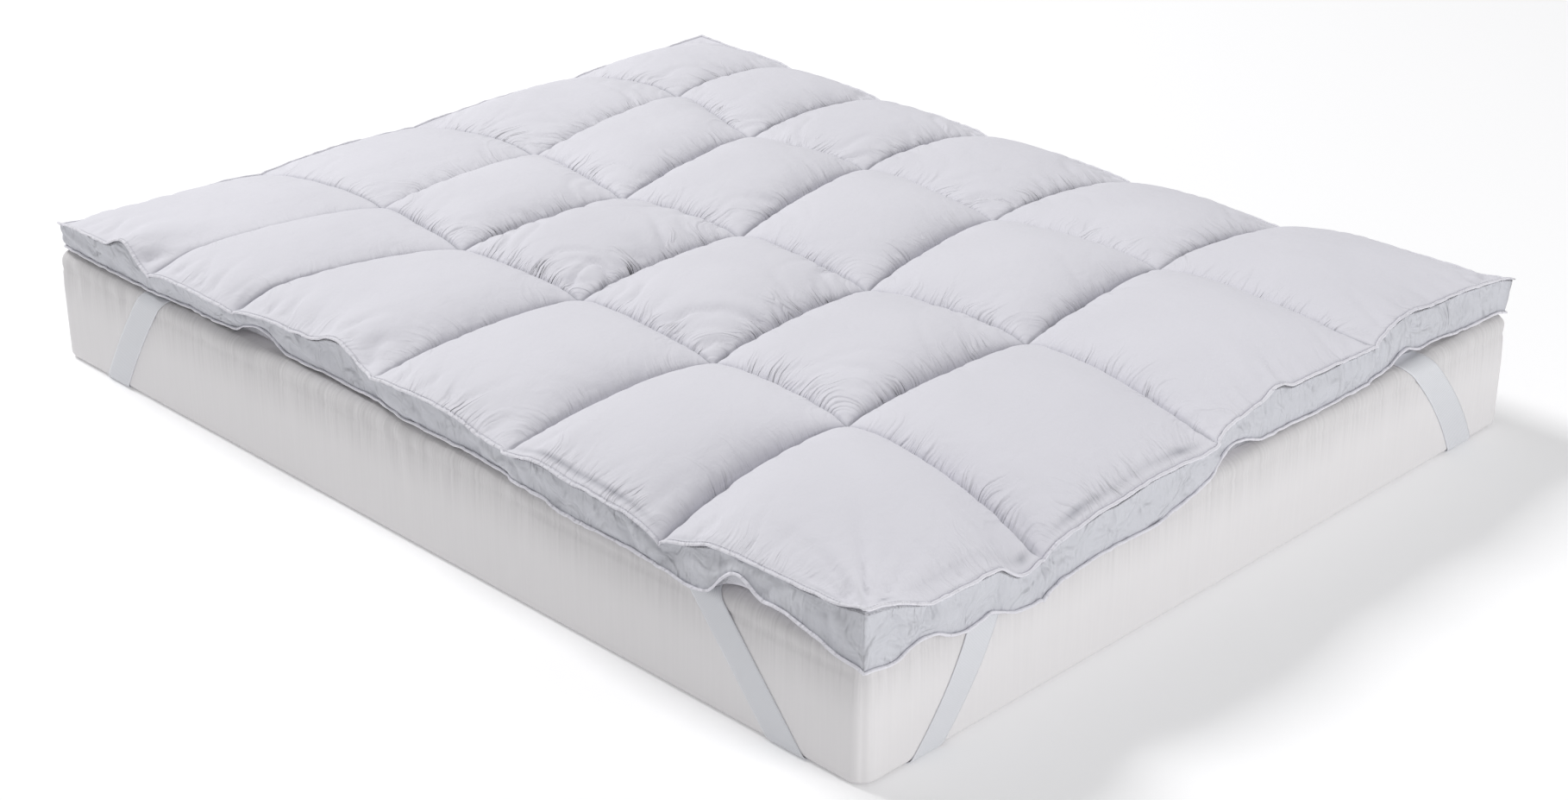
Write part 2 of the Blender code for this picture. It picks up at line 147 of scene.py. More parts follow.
def addNode(tree, kind, values=None, links=None, stops=(), **settings):
    # a link comes from a socket or from a node's first output, and stops are a ramp's colours
    node = tree.nodes.new(kind)
    for key, value in settings.items():
        setattr(node, key, value)
    for key, value in (values or {}).items():
        node.inputs[key].default_value = value
    for key, source in (links or {}).items():
        isSocket = isinstance(source, bpy.types.NodeSocket)
        tree.links.new(source if isSocket else source.outputs[0], node.inputs[key])
    for number, (position, hexValue) in enumerate(stops):
        node.color_ramp.elements[number].position = position
        node.color_ramp.elements[number].color = linearColour(hexValue)
    return node


def waveScale(spacing):
    # Blender's wave texture repeats every tau / 20 at scale 1
    return math.tau / spacing / 20


def newMaterial(name, surface):
    material = bpy.data.materials.new(name)
    material.use_nodes = True
    tree = material.node_tree
    shader = tree.nodes["Principled BSDF"]
    for key, value in surface.items():
        shader.inputs[key].default_value = value
    return material, tree, shader


def finishMaterial(tree, shader, colour, relief):
    # the colour, and layers of relief one on another: height, strength, depth in mm
    tree.links.new(colour, shader.inputs["Base Color"])
    normal = None
    for height, strength, depth in relief:
        bump = addNode(tree, "ShaderNodeBump", {"Strength": strength, "Distance": depth * mm},
                       {"Height": height})
        if normal:
            tree.links.new(normal, bump.inputs["Normal"])
        normal = bump.outputs["Normal"]
    tree.links.new(normal, shader.inputs["Normal"])


# materials

cottonLook = {
    "sheenTint": "#F4F4FA",
    # painted shade: the side wall's colour is greyer, for the shade under the upper seam
    "wallShadeColour": "#CBCCD2",
    # painted shade: the colour of the shade in the stitched grooves
    "grooveShadeColour": "#9C9DA6",
    # gathers at the seams: mm apart, reach from the seam in m, how fast the pattern changes
    # along a fold, and depth in mm, of which about a fifth shows
    "gathers": ((12, 0.080, 11.0, 13.5), (6, 0.042, 24.0, 5.5)),
    "slackDepth": 20.0,
    "crumpleDepth": 6.0,
    "weaveDepth": 0.25,
}


def wovenCotton(name, colour, shade, weaveSpacing, sheen):
    # Down-proof cotton cambric, woven tight and calendered: matt, with a faint soft sheen
    # and a very fine plain weave. Its threads are 0.2 mm apart, too fine to show from here,
    # so the weave is drawn coarser, at weaveSpacing.
    material, tree, shader = newMaterial(name, {
        "Roughness": 0.78, "IOR": 1.47, "Sheen Weight": sheen, "Sheen Roughness": 0.45,
        "Sheen Tint": linearColour(cottonLook["sheenTint"]), "Specular IOR Level": 0.35,
    })
    place = addNode(tree, "ShaderNodeTexCoord").outputs["Object"]
    wall, groove, along, away, pull = [
        addNode(tree, "ShaderNodeAttribute", attribute_name=attribute).outputs["Fac"]
        for attribute in ("sideWall", "groove", "alongSeam", "fromSeam", "gathered")]
    cloud = addNode(tree, "ShaderNodeTexNoise", {"Scale": 3.2, "Detail": 3.0}, {"Vector": place})
    tint = addNode(tree, "ShaderNodeValToRGB", links={"Fac": cloud},
                   stops=((0.30, shade), (0.70, colour)))
    # painted shade: the side wall is drawn greyer for the shade it stands in under the upper seam, and
    # the stitched grooves are drawn darker where they keep the light out: a thin line of painted shade
    # along the quilting
    result = tint.outputs["Color"]
    for factor, hexValue in ((wall, cottonLook["wallShadeColour"]), (groove, cottonLook["grooveShadeColour"])):
        result = addNode(tree, "ShaderNodeMix", {"B": linearColour(hexValue)},
                         {"Factor": factor, "A": result}, data_type="RGBA").outputs["Result"]
    # the stitching gathers the cloth: small folds that cross each seam, bend round the
    # nearest crossing and die out, each a soft ridge with a sharp valley
    relief = []
    for spacing, reach, drift, depth in cottonLook["gathers"]:
        slow = addNode(tree, "ShaderNodeVectorMath", {1: (drift, drift, 0.0)}, {0: place},
                       operation="MULTIPLY")
        quick = addNode(tree, "ShaderNodeCombineXYZ", links={"Z": along})
        spot = addNode(tree, "ShaderNodeVectorMath", {1: (0.0, 0.0, 1 / (spacing * mm))},
                       {0: quick, 2: slow}, operation="MULTIPLY_ADD")
        folds = addNode(tree, "ShaderNodeTexNoise", {"Scale": 1.0, "Detail": 1.0, "Roughness": 0.4},
                        {"Vector": spot})
        middle = addNode(tree, "ShaderNodeMath", {1: 0.5}, {0: folds}, operation="SUBTRACT")
        ridge = addNode(tree, "ShaderNodeMath", links={0: middle}, operation="ABSOLUTE")
        # each fold runs as far as a slower noise lets it
        ends = addNode(tree, "ShaderNodeTexNoise", {"Scale": 0.6, "Detail": 0.0}, {"Vector": spot})
        length = addNode(tree, "ShaderNodeMapRange", {"From Min": 0.35, "From Max": 0.70,
                         "To Min": reach * 0.25, "To Max": reach}, {"Value": ends})
        share = addNode(tree, "ShaderNodeMath", links={0: away, 1: length}, operation="DIVIDE")
        fade = addNode(tree, "ShaderNodeMapRange", {"From Min": 0.15, "From Max": 1.0,
                       "To Min": 1.0, "To Max": 0.0}, {"Value": share},
                       interpolation_type="SMOOTHSTEP")
        fade = addNode(tree, "ShaderNodeMath", links={0: fade, 1: pull}, operation="MULTIPLY")
        height = addNode(tree, "ShaderNodeMath", links={0: ridge, 1: fade}, operation="MULTIPLY")
        relief.append((height, 1.0, depth))
    # the side wall is slack: crushed folds 30 to 50 mm across
    slack = addNode(tree, "ShaderNodeTexNoise", {"Scale": 20.0, "Detail": 2.0, "Roughness": 0.45,
                    "Distortion": 0.9}, {"Vector": place})
    slack = addNode(tree, "ShaderNodeMath", links={0: slack, 1: wall}, operation="MULTIPLY")
    # soft crumple left by folding and packing, 20 to 40 mm across
    crumple = addNode(tree, "ShaderNodeTexNoise", {"Scale": 26.0, "Detail": 4.0,
                      "Roughness": 0.55, "Distortion": 0.4}, {"Vector": place})
    # plain weave: two crossing bands of threads
    across, down = [
        addNode(tree, "ShaderNodeTexWave", {"Scale": waveScale(weaveSpacing), "Distortion": 0.6,
                "Detail": 1.0, "Detail Scale": 3.0}, {"Vector": place},
                bands_direction=way).outputs["Fac"] for way in "XY"]
    weave = addNode(tree, "ShaderNodeMath", links={0: across, 1: down}, operation="ADD")
    relief += [(slack, 1.0, cottonLook["slackDepth"]), (crumple, 0.42, cottonLook["crumpleDepth"]),
               (weave, 0.10, cottonLook["weaveDepth"])]
    finishMaterial(tree, shader, result, relief)
    return material


def wovenElastic(name):
    # Flat woven elastic, polyester over rubber threads: satin, ribbed along its length with
    # a fine crosswise weft and a firmer edge. Ribs 2.5 mm apart, weft 1.2 mm apart.
    material, tree, shader = newMaterial(name, {
        "Roughness": 0.52, "IOR": 1.5, "Sheen Weight": 0.25, "Sheen Roughness": 0.35,
        "Specular IOR Level": 0.5,
    })
    across, along = [
        addNode(tree, "ShaderNodeAttribute", attribute_name=attribute).outputs["Fac"]
        for attribute in ("acrossStrap", "alongStrap")]
    flat = addNode(tree, "ShaderNodeCombineXYZ", links={"X": across, "Y": along})
    rib, weft = [
        addNode(tree, "ShaderNodeTexWave", {"Scale": waveScale(spacing * mm), "Distortion": wander},
                {"Vector": flat}, bands_direction=way).outputs["Fac"]
        for spacing, wander, way in ((2.5, 0.15, "X"), (1.2, 0.3, "Y"))]
    tint = addNode(tree, "ShaderNodeValToRGB", links={"Fac": rib},
                   stops=((0.0, "#CFD1D6"), (1.0, "#E1E2E6")))
    # the firmer edge begins 24.5 mm from the middle
    side = addNode(tree, "ShaderNodeMath", links={0: across}, operation="ABSOLUTE")
    edge = addNode(tree, "ShaderNodeMapRange", {"From Min": 24.5 * mm, "From Max": 26.2 * mm},
                   {"Value": side})
    edged = addNode(tree, "ShaderNodeMix", {"B": linearColour("#E4E5EA")},
                    {"Factor": edge, "A": tint}, data_type="RGBA").outputs["Result"]
    finishMaterial(tree, shader, edged, [(rib, 0.35, 0.35), (weft, 0.25, 0.2)])
    return material


def brushedCover(name):
    # Brushed polyester cover, gathered on elastic at its top: matt and warm white, with fine upright
    # streaks where the cloth is drawn together, coloured darker towards the top as painted shade in the
    # gathers and under the pad. Streaks 4 to 8 mm apart.
    material, tree, shader = newMaterial(name, {
        "Roughness": 0.86, "IOR": 1.47, "Sheen Weight": 0.18, "Sheen Roughness": 0.5,
        "Specular IOR Level": 0.3,
    })
    around, down = [
        addNode(tree, "ShaderNodeAttribute", attribute_name=attribute).outputs["Fac"]
        for attribute in ("aroundSide", "belowTop")]
    flat = addNode(tree, "ShaderNodeCombineXYZ", links={"X": around, "Y": down})
    stretch = addNode(tree, "ShaderNodeVectorMath", {1: (170.0, 5.0, 1.0)}, {0: flat},
                      operation="MULTIPLY")
    streak = addNode(tree, "ShaderNodeTexNoise", {"Scale": 1.0, "Detail": 3.0, "Roughness": 0.6},
                     {"Vector": stretch})
    fade = addNode(tree, "ShaderNodeMapRange", {"From Min": 0.0, "From Max": 0.11,
                   "To Min": 1.0, "To Max": 0.16}, {"Value": down}, interpolation_type="SMOOTHSTEP")
    gathered = addNode(tree, "ShaderNodeMath", links={0: streak, 1: fade}, operation="MULTIPLY")
    # painted shade: the streaks are coloured darker near the top, for the shade in the folds and under
    # the pad's edge
    tint = addNode(tree, "ShaderNodeValToRGB", links={"Fac": gathered},
                   stops=((0.0, "#E6E4E5"), (0.8, "#C8C6C7")))
    # the brushed nap, about 1 mm
    place = addNode(tree, "ShaderNodeTexCoord").outputs["Object"]
    nap = addNode(tree, "ShaderNodeTexNoise", {"Scale": 900.0, "Detail": 2.0}, {"Vector": place})
    finishMaterial(tree, shader, tint.outputs["Color"], [(gathered, 0.45, 3.0), (nap, 0.12, 0.3)])
    return material


def spunThread(name):
    # Spun polyester sewing thread: bright white with a slight gloss, twisted every 0.8 mm.
    material, tree, shader = newMaterial(name, {
        "Roughness": 0.55, "IOR": 1.5, "Specular IOR Level": 0.5,
    })
    place = addNode(tree, "ShaderNodeTexCoord").outputs["Object"]
    twist = addNode(tree, "ShaderNodeTexWave", {"Scale": waveScale(0.8 * mm)}, {"Vector": place},
                    bands_direction="DIAGONAL").outputs["Fac"]
    tint = addNode(tree, "ShaderNodeValToRGB", links={"Fac": twist},
                   stops=((0.0, "#D8D8DE"), (1.0, "#F0F0F4")))
    finishMaterial(tree, shader, tint.outputs["Color"], [(twist, 0.4, 0.1)])
    return material


padCotton = wovenCotton("calendered_cotton_cambric", "#E2E1E8", "#DCDBE2", 1.6 * mm, 0.10)
pipingCotton = wovenCotton("folded_cotton_piping", "#E6E5EB", "#E0DFE6", 1.2 * mm, 0.12)
strapElastic = wovenElastic("woven_strap_elastic")
coverCloth = brushedCover("brushed_polyester_cover")
threadSpun = spunThread("spun_polyester_thread")
note("materials made")


# the pad: the quilting lines, and the waving rim that they draw in

padShape = {
    "channelHeight": 0.076,  # stitched channels above the mattress
    "junctionDip": 0.007,  # how far they sink where they cross
    "junctionReach": 0.16,  # in boxes
    "innerPuff": (2.5, 0.62),  # how full a box is towards a channel, and towards the rim
    "rimPuff": (2.1, 0.80),
    "waveSharpness": 0.6,
    "waveReach": 0.5,  # boxes that a pucker of the rim reaches inwards
    "wallBulge": 0.002,
    "cornerPull": 0.009,  # the corners are blunt: drawn in this far each way
    "cornerReach": 0.075,
    # the flat left edge of the far boxes: how far its valleys are filled, and in boxes how
    # the fill begins at the rim, ends before the first line, and starts along the side
    "valleyFill": 0.020,
    "fillRim": 0.2,
    "fillInner": 0.6,
    "fillStart": (2.8, 0.9),
    # distance from the front corner of each line, at the edges and at the lines it crosses
    "acrossLines": ((0, 0, 0, 0, 0, 0, 0), (0.350, 0.388, 0.396, 0.412, 0.408, 0.435, 0.440),
                    (0.752, 0.800, 0.775, 0.790, 0.765, 0.800, 0.800),
                    (1.175, 1.190, 1.160, 1.180, 1.150, 1.215, 1.210),
                    (1.6, 1.6, 1.6, 1.6, 1.6, 1.6, 1.6)),
    "alongLines": ((0, 0, 0, 0, 0), (0.385, 0.402, 0.405, 0.445, 0.440),
                   (0.722, 0.702, 0.729, 0.785, 0.785), (1.052, 1.034, 1.048, 1.120, 1.137),
                   (1.440, 1.340, 1.325, 1.390, 1.434), (1.672, 1.598, 1.608, 1.665, 1.700),
                   (2, 2, 2, 2, 2)),
    # crown of each box in mm, a row of boxes a line, from the near short side
    "crowns": ((56, 58, 54, 40), (54, 51, 50, 34), (50, 50, 48, 34), (46, 46, 44, 34),
               (34, 42, 42, 32), (20, 24, 26, 26)),
}
# each side's rim in mm, first at the lines and then in the boxes: upper reach and height,
# lower reach and height
padSides = {
    "front": (((12, 76, 12, -12), (8, 18, 12, -40), (8, 57, 4, 6), (0, 76, -10, 8), (2, 64, -4, 3)),
              ((22, 55, 12, -16), (18, 58, 12, -20), (-18, 70, -14, 8), (-32, 74, -24, 12))),
    "left": (((12, 76, 12, -12), (8, 32, 12, -2), (10, 55, 0, 10), (2, 62, -20, 10),
              (-6, 50, -26, 12), (6, 48, -10, 10), (-6, 50, -14, 8)),
             ((4, 70, 12, 2), (14, 62, 12, 2), (-4, 66, -12, 8), (-16, 64, -26, 8),
              (5, 62, -20, 8), (0, 68, -14, 8))),
    "right": (((2, 64, -4, 3), (-40, 30, -34, 8), (-50, 32, -44, 8), (-50, 32, -44, 8),
               (-44, 32, -38, 8), (-30, 32, -26, 8), (-12, 40, -16, 8)),
              ((-4, 50, -12, 8), (-30, 38, -26, 8), (-36, 36, -30, 8), (-34, 36, -28, 8),
               (-28, 36, -24, 8), (-18, 36, -18, 8))),
    "back": (((-6, 50, -14, 8), (-20, 28, -24, 8), (-20, 28, -24, 8), (-20, 28, -24, 8),
              (-12, 40, -16, 8)), ((-10, 34, -14, 8),) * 4),
}
# where the upper and the lower seam pucker up or sag: centre and half width in boxes, mm up
padWaves = {
    ("front", 0): ((0.12, 0.22, 20), (0.85, 0.17, -26), (1.65, 0.30, 8), (2.42, 0.12, 14),
                   (3.28, 0.25, 10)),
    ("front", 1): ((0.30, 0.18, 17), (0.55, 0.15, -8), (0.86, 0.20, -16), (1.85, 0.25, 9),
                   (2.15, 0.20, 22), (2.75, 0.30, -3), (3.28, 0.12, 14), (3.72, 0.20, -6)),
    ("left", 0): ((0.88, 0.14, -8), (1.75, 0.22, 9), (2.20, 0.25, -10), (3.28, 0.22, 24),
                  (5.25, 0.18, 24)),
    ("left", 1): ((0.42, 0.38, 26), (0.60, 0.14, 30), (0.82, 0.15, -9), (1.78, 0.25, 10),
                  (3.87, 0.20, 22)),
}


def boxOf(place, count):
    box = np.minimum(np.floor(place).astype(int), count - 1)
    return box, place - box


def linePlace(lines, place, crossing):
    # where a place in boxes lies in metres between two lines, at a place along them
    values = np.array(lines, float)
    box, part = boxOf(place, len(values) - 1)
    last = values.shape[1] - 1
    step, s = boxOf(crossing, last)

    def curve(line):
        start, end = values[line, step], values[line, step + 1]
        leaving = np.where(step > 0, (end - values[line, np.maximum(step - 1, 0)]) / 2, end - start)
        arriving = np.where(step < last - 1, (values[line, np.minimum(step + 2, last)] - start) / 2,
                            end - start)
        third = leaving + arriving - 2 * (end - start)
        return start + s * (leaving + s * (3 * (end - start) - 2 * leaving - arriving + s * third))

    return curve(box) + (curve(box + 1) - curve(box)) * part


def rim(side, place, seam, waved=True):
    # reach past the mattress and height above its top, seam 0 the upper and 1 the lower
    lines, boxes = (np.array(table, float) for table in padSides[side])
    box, part = boxOf(place, len(boxes))
    full = (4 * part * (1 - part)) ** padShape["waveSharpness"]
    found = []
    for column in (2 * seam, 2 * seam + 1):
        pinched = lines[box, column] + (lines[box + 1, column] - lines[box, column]) * part
        found.append((pinched + (boxes[box, column] - pinched) * full) * mm)
    reach, height = found
    for centre, halfWidth, rise in padWaves.get((side, seam), ()) if waved else ():
        height = height + rise * mm * np.clip(1 - ((place - centre) / halfWidth) ** 2, 0, 1) ** 2
    return reach, height


def padPlan(p, q, seam=0, inset=0.0):
    # places in boxes to metres, with the rim's reach at one of its seams
    x = linePlace(padShape["acrossLines"], p, q)
    y = linePlace(padShape["alongLines"], q, p)
    x = x - (rim("left", q, seam)[0] - inset) * nearness(p)
    x = x + (rim("right", q, seam)[0] - inset) * nearness(columns - p)
    y = y - (rim("front", p, seam)[0] - inset) * nearness(q)
    y = y + (rim("back", p, seam)[0] - inset) * nearness(rows - q)
    for atY, wayY in ((0, 1), (mattressSize["length"], -1)):
        for atX, wayX in ((0, 1), (mattressSize["width"], -1)):
            away = np.hypot(x - atX, y - atY) / padShape["cornerReach"]
            pull = padShape["cornerPull"] * nearness(away)
            x, y = x + pull * wayX, y + pull * wayY
    return x, y


def puff(part, startsAtRim, endsAtRim):
    # how far a box rises towards its crown, from one of its sides to the other
    atRim = np.where(part < 0.5, startsAtRim, endsAtRim)
    power = np.where(atRim, padShape["rimPuff"][0], padShape["innerPuff"][0])
    root = np.where(atRim, padShape["rimPuff"][1], padShape["innerPuff"][1])
    return np.clip(1 - np.abs(2 * part - 1) ** power, 0, 1) ** root


def padHeight(p, q):
    column, s = boxOf(p, columns)
    row, t = boxOf(q, rows)
    level = padShape["channelHeight"]
    height = np.full(p.shape, level)
    for side, place, away in (("left", q, p), ("right", q, columns - p),
                              ("front", p, q), ("back", p, rows - q)):
        base = rim(side, place, 0, waved=False)[1]
        height = height + (base - level) * nearness(away)
        height = height + (rim(side, place, 0)[1] - base) * nearness(away / padShape["waveReach"])
    for side, q0 in (("front", 0), ("back", rows)):
        for p0 in (0, columns):
            atCorner = rim(side, np.array([float(p0)]), 0, waved=False)[1][0]
            height = height - (atCorner - level) * nearness(abs(p - p0)) * nearness(abs(q - q0))
    crown = np.array(padShape["crowns"], float)[row, column] * mm
    dome = puff(s, column == 0, column == columns - 1) * puff(t, row == 0, row == rows - 1)
    lineP, lineQ = np.round(p), np.round(q)
    inner = (lineP > 0) & (lineP < columns) & (lineQ > 0) & (lineQ < rows)
    dip = nearness(np.hypot(p - lineP, q - lineQ) / padShape["junctionReach"])
    start, span = padShape["fillStart"]
    fill = eased((1 - p) / padShape["fillInner"]) * eased(p / padShape["fillRim"]) \
        * eased((q - start) / span) * eased((rows - q) / padShape["fillRim"])
    height = height + padShape["valleyFill"] * fill * (1 - dome)
    return height + crown * dome - padShape["junctionDip"] * dip * inner


# the pad's mesh: the quilted top, the side wall and the underside in one closed skin

padMesh = {
    "stepsAcross": 60,  # faces in each box, 7 mm wide
    "stepsAlong": 50,
    "besideSeam": (0.006, 0.015),  # and narrow ones beside each seam, in boxes
    "wallRows": 10,
    # the lower seam and the rings under it: inset, height above the mattress, share of the
    # seam's rise
    "lowerRings": ((0, 0, 1), (0.006, 0.0028, 0.3), (0.045, 0.0026, 0), (0.100, 0.0003, 0)),
}
wallDowns = np.linspace(0, 1, padMesh["wallRows"] + 1)[1:]  # shares of the way down the wall


def gridPlaces(count, steps):
    # places in boxes, closer together beside the seams
    near, far = padMesh["besideSeam"]
    box = [0, near] + np.linspace(far, 1 - far, steps - 3).tolist() + [1 - near]
    return np.concatenate([np.array(box) + i for i in range(count)] + [[count]])


def rimWalk(pPlaces, qPlaces):
    # side, place along it and box coordinates of each rim point, all the way round
    pOn, qOn, pBack, qBack = pPlaces[:-1], qPlaces[:-1], pPlaces[:0:-1], qPlaces[:0:-1]
    return [("front", pOn, pOn, pOn * 0), ("right", qOn, qOn * 0 + columns, qOn),
            ("back", pBack, pBack, pBack * 0 + rows), ("left", qBack, qBack * 0, qBack)]


def rimPoints(grid, depth):
    # the points of a grid in the same order, a number of rows in from the rim
    return np.concatenate([grid[:-1, depth], grid[-1 - depth, :-1], grid[:0:-1, -1 - depth],
                           grid[depth, :0:-1]])


def lowerRing(walk, inset, level, lift):
    ring = []
    for side, place, p, q in walk:
        reach, rise = rim(side, place, 1)
        if inset:
            reach, rise = inset + np.maximum(0, reach), np.maximum(0, rise)
        x, y = padPlan(p, q, 1, reach if inset else 0.0)
        ring.append(np.stack([x, y, level + lift * rise], axis=1))
    return np.concatenate(ring) + (0, 0, mattressSize["height"])


def buildPadSkin():
    pPlaces = gridPlaces(columns, padMesh["stepsAcross"])
    qPlaces = gridPlaces(rows, padMesh["stepsAlong"])
    p, q = np.meshgrid(pPlaces, qPlaces, indexing="ij")
    x, y = padPlan(p, q)
    top = np.stack([x, y, padHeight(p, q) + mattressSize["height"]], axis=-1).reshape(-1, 3)
    index = np.arange(p.size).reshape(p.shape)
    faces = np.stack([index[:-1, :-1], index[1:, :-1], index[1:, 1:], index[:-1, 1:]],
                     axis=-1).reshape(-1, 4).tolist()
    walk = rimWalk(pPlaces, qPlaces)
    upper = rimPoints(index, 0)
    hem, *under = [lowerRing(walk, *ring) for ring in padMesh["lowerRings"]]
    seam = top[upper]
    _, out = outwardOf(seam)
    rings = [seam + (hem - seam) * down + out * padShape["wallBulge"] * 4 * down * (1 - down)
             for down in wallDowns] + under
    count = len(upper)
    numbers = p.size + np.arange(len(rings) * count).reshape(-1, count)
    for first, second in zip([upper, *numbers], numbers):
        faces += ringFaces(first, second)
    centre = p.size + len(rings) * count
    faces += [[int(a), centre, int(b)] for a, b in zip(numbers[-1], np.roll(numbers[-1], -1))]
    points = np.concatenate([top, *rings, rings[-1].mean(axis=0)[None, :]])
    return {"points": points, "faces": faces, "p": p, "q": q, "index": index, "walk": walk,
            "upper": upper, "wall": numbers[:len(wallDowns)], "lower": numbers[len(wallDowns) - 1]}


# the pad's creases: the stitches gather the cloth, so small folds leave each seam at right
# angles and bend round the nearest crossing of two seams

padCreases = {
    "firstRadius": 0.042,  # of the fold nearest a crossing
    "spacing": (0.015, 0.028),  # between folds
    "spacingGrowth": 2.2,  # both grow with the radius
    "width": (0.0050, 0.0080),
    "widthGrowth": 2.5,
    "depth": (1.2, 4.2),  # mm
    "length": 0.036,  # how far a fold usually runs from its seam
    "lengthSpread": 0.6,
    "roundLength": (1.2, 0.045),  # a fold that runs right round: times and plus this
    "zoneEnd": 0.60,  # share of the seam's length that belongs to each crossing
    "zoneFade": 0.14,
    "startFade": 0.004,  # folds begin this far from the stitches
    "wander": 0.09,
    "unevenness": (0.006, 0.035, 44),  # of a fold's line: height, size, seed
    "cornerShares": (0.35, 1.0, 0.65),  # strength at a free corner, the near one, the others
    # the shader's gathers: they are strong within reach of a crossing, calm beside it
    "pull": {"reach": 0.11, "calm": 0.95, "calmReach": 0.055, "elsewhere": (0.05, 0.07)},
    "patternDrift": ((0.010, 0.050, 46), (0.005, 0.023, 47)),  # height, size, seed
    "seamSink": 3.6,  # mm that the stitches bite into the pad
    "seamWidth": 0.0028,
    "grooveShade": 0.8,  # how dark the painted shade in the stitched groove is, and how wide
    "grooveWidth": 0.0014,
    "crumple": (1.3, 0.07, 41),  # slow unevenness over the boxes: mm, size, seed
    "crumpleFade": 0.05,
    "seamDrift": 1.8,  # mm that the seams wander sideways
    "driftSize": (0.045, 0.11),
    # boxes from the rim over which the groove, the relief and the drift come in
    "rimFades": {"groove": 0.04, "relief": 0.03, "drift": 0.25},
    # how strongly each box is gathered, and the share of its folds that run right round from
    # one seam to the next, a row of boxes a line from the near short side
    "strength": ((0.85, 0.9, 0.8, 0.8), (0.8, 1.2, 0.9, 0.9), (0.8, 1.5, 0.8, 1.1),
                 (0.7, 1.7, 1.0, 1.1), (0.4, 1.0, 1.1, 1.1), (0.3, 0.8, 1.2, 1.1)),
    "rounds": ((0.05, 0.2, 0.05, 0.1), (0.05, 0.5, 0.1, 0.3), (0.05, 0.75, 0.1, 0.4),
               (0.1, 0.85, 0.2, 0.4), (0.1, 0.4, 0.3, 0.5), (0.1, 0.3, 0.5, 0.5)),
}
# rays from the free corners: corner, number, depth in mm, length
cornerRays = {
    "corners": (((0, 0), 7, 14.0, 0.210), ((columns, 0), 5, 4.0, 0.130), ((0, rows), 5, 3.0, 0.090),
                ((columns, rows), 5, 3.0, 0.090)),
    "aside": 0.35,  # of the even angle between two rays
    "reach": (0.45, 1.2),
    "bend": 0.9,
    "depth": (0.4, 1),
    "width": 0.0062,  # grows from a share of this with the distance
    "widthStart": 0.35,
    "widthGrowth": 0.12,
    "start": 0.06,
}
# folds that the piping gathers all round the rim, depth in mm
edgeFolds = {"first": 0.03, "spacing": (0.018, 0.050), "width": (0.006, 0.010),
             "depth": (2.0, 6.0), "length": (0.025, 0.085), "slant": 0.35, "start": 0.012}


def valley(across, width, power):
    return np.exp(-np.abs(across / width) ** power)


def roundCrossing(x, y, crossing, ends, strength, rounds, chance):
    # folds round one crossing, in one of the boxes that meet there: mm down
    away = np.hypot(x - crossing[0], y - crossing[1])
    ways = [math.atan2(end[1] - crossing[1], end[0] - crossing[0]) for end in ends]
    spans = [math.hypot(end[0] - crossing[0], end[1] - crossing[1]) for end in ends]
    turn = (ways[1] - ways[0] + math.pi) % math.tau - math.pi
    here = np.arctan2(y - crossing[1], x - crossing[0])
    part = np.clip(((here - ways[0] + math.pi) % math.tau - math.pi) / turn, 0, 1)
    fromFirst, fromSecond = away * abs(turn) * part, away * abs(turn) * (1 - part)
    span = spans[0] + (spans[1] - spans[0]) * part
    zone = eased((padCreases["zoneEnd"] - away / span) / padCreases["zoneFade"])
    sunk = np.zeros(x.shape)
    rise, size, seed = padCreases["unevenness"]
    unevenness = rise * ripple(x / size, y / size, seed)
    radius = padCreases["firstRadius"]
    while radius < padCreases["zoneEnd"] * max(spans):
        width = chance.uniform(*padCreases["width"]) * (1 + padCreases["widthGrowth"] * radius)
        depths = chance.uniform(*padCreases["depth"], 2)
        lengths = padCreases["length"] * np.exp(chance.normal(0, padCreases["lengthSpread"], 2))
        if chance.uniform() < rounds:
            lengths = lengths * padCreases["roundLength"][0] + padCreases["roundLength"][1]
            depths = (depths + depths.mean()) / 2
        bend = chance.normal(0, padCreases["wander"], 3)
        line = radius * (1 + bend[0] * part + bend[1] * np.sin(math.pi * part)
                         + bend[2] * np.sin(math.tau * part)) + unevenness
        sunk += valley(away - line, width, 1.6) * (depths[0] * np.exp(-(fromFirst / lengths[0]) ** 2)
                                                   + depths[1] * np.exp(-(fromSecond / lengths[1]) ** 2))
        radius += chance.uniform(*padCreases["spacing"]) * (1 + padCreases["spacingGrowth"] * radius)
    return sunk * zone * strength


def foldRays(x, y, chance):
    # rays of folds from the free corners: mm down
    stepsP, stepsQ = padMesh["stepsAcross"], padMesh["stepsAlong"]
    sunk = np.zeros(x.shape)
    for (i, j), number, depth, length in cornerRays["corners"]:
        alongX = x - x[i * stepsP, j * stepsQ]
        alongY = y - y[i * stepsP, j * stepsQ]
        away, here = np.hypot(alongX, alongY), np.arctan2(np.abs(alongY), np.abs(alongX))
        width = cornerRays["width"] * (cornerRays["widthStart"] + away / cornerRays["widthGrowth"])
        for k in range(number):
            aside = chance.uniform(-cornerRays["aside"], cornerRays["aside"])
            way = math.pi / 2 * (k + 0.5 + aside) / number
            reach = length * chance.uniform(*cornerRays["reach"])
            across = away * (here - way - chance.normal(0, cornerRays["bend"]) * away)
            sunk += depth * chance.uniform(*cornerRays["depth"]) * valley(across, width, 1.7) \
                * eased(away / cornerRays["start"]) * np.exp(-(away / reach) ** 2)
    return sunk


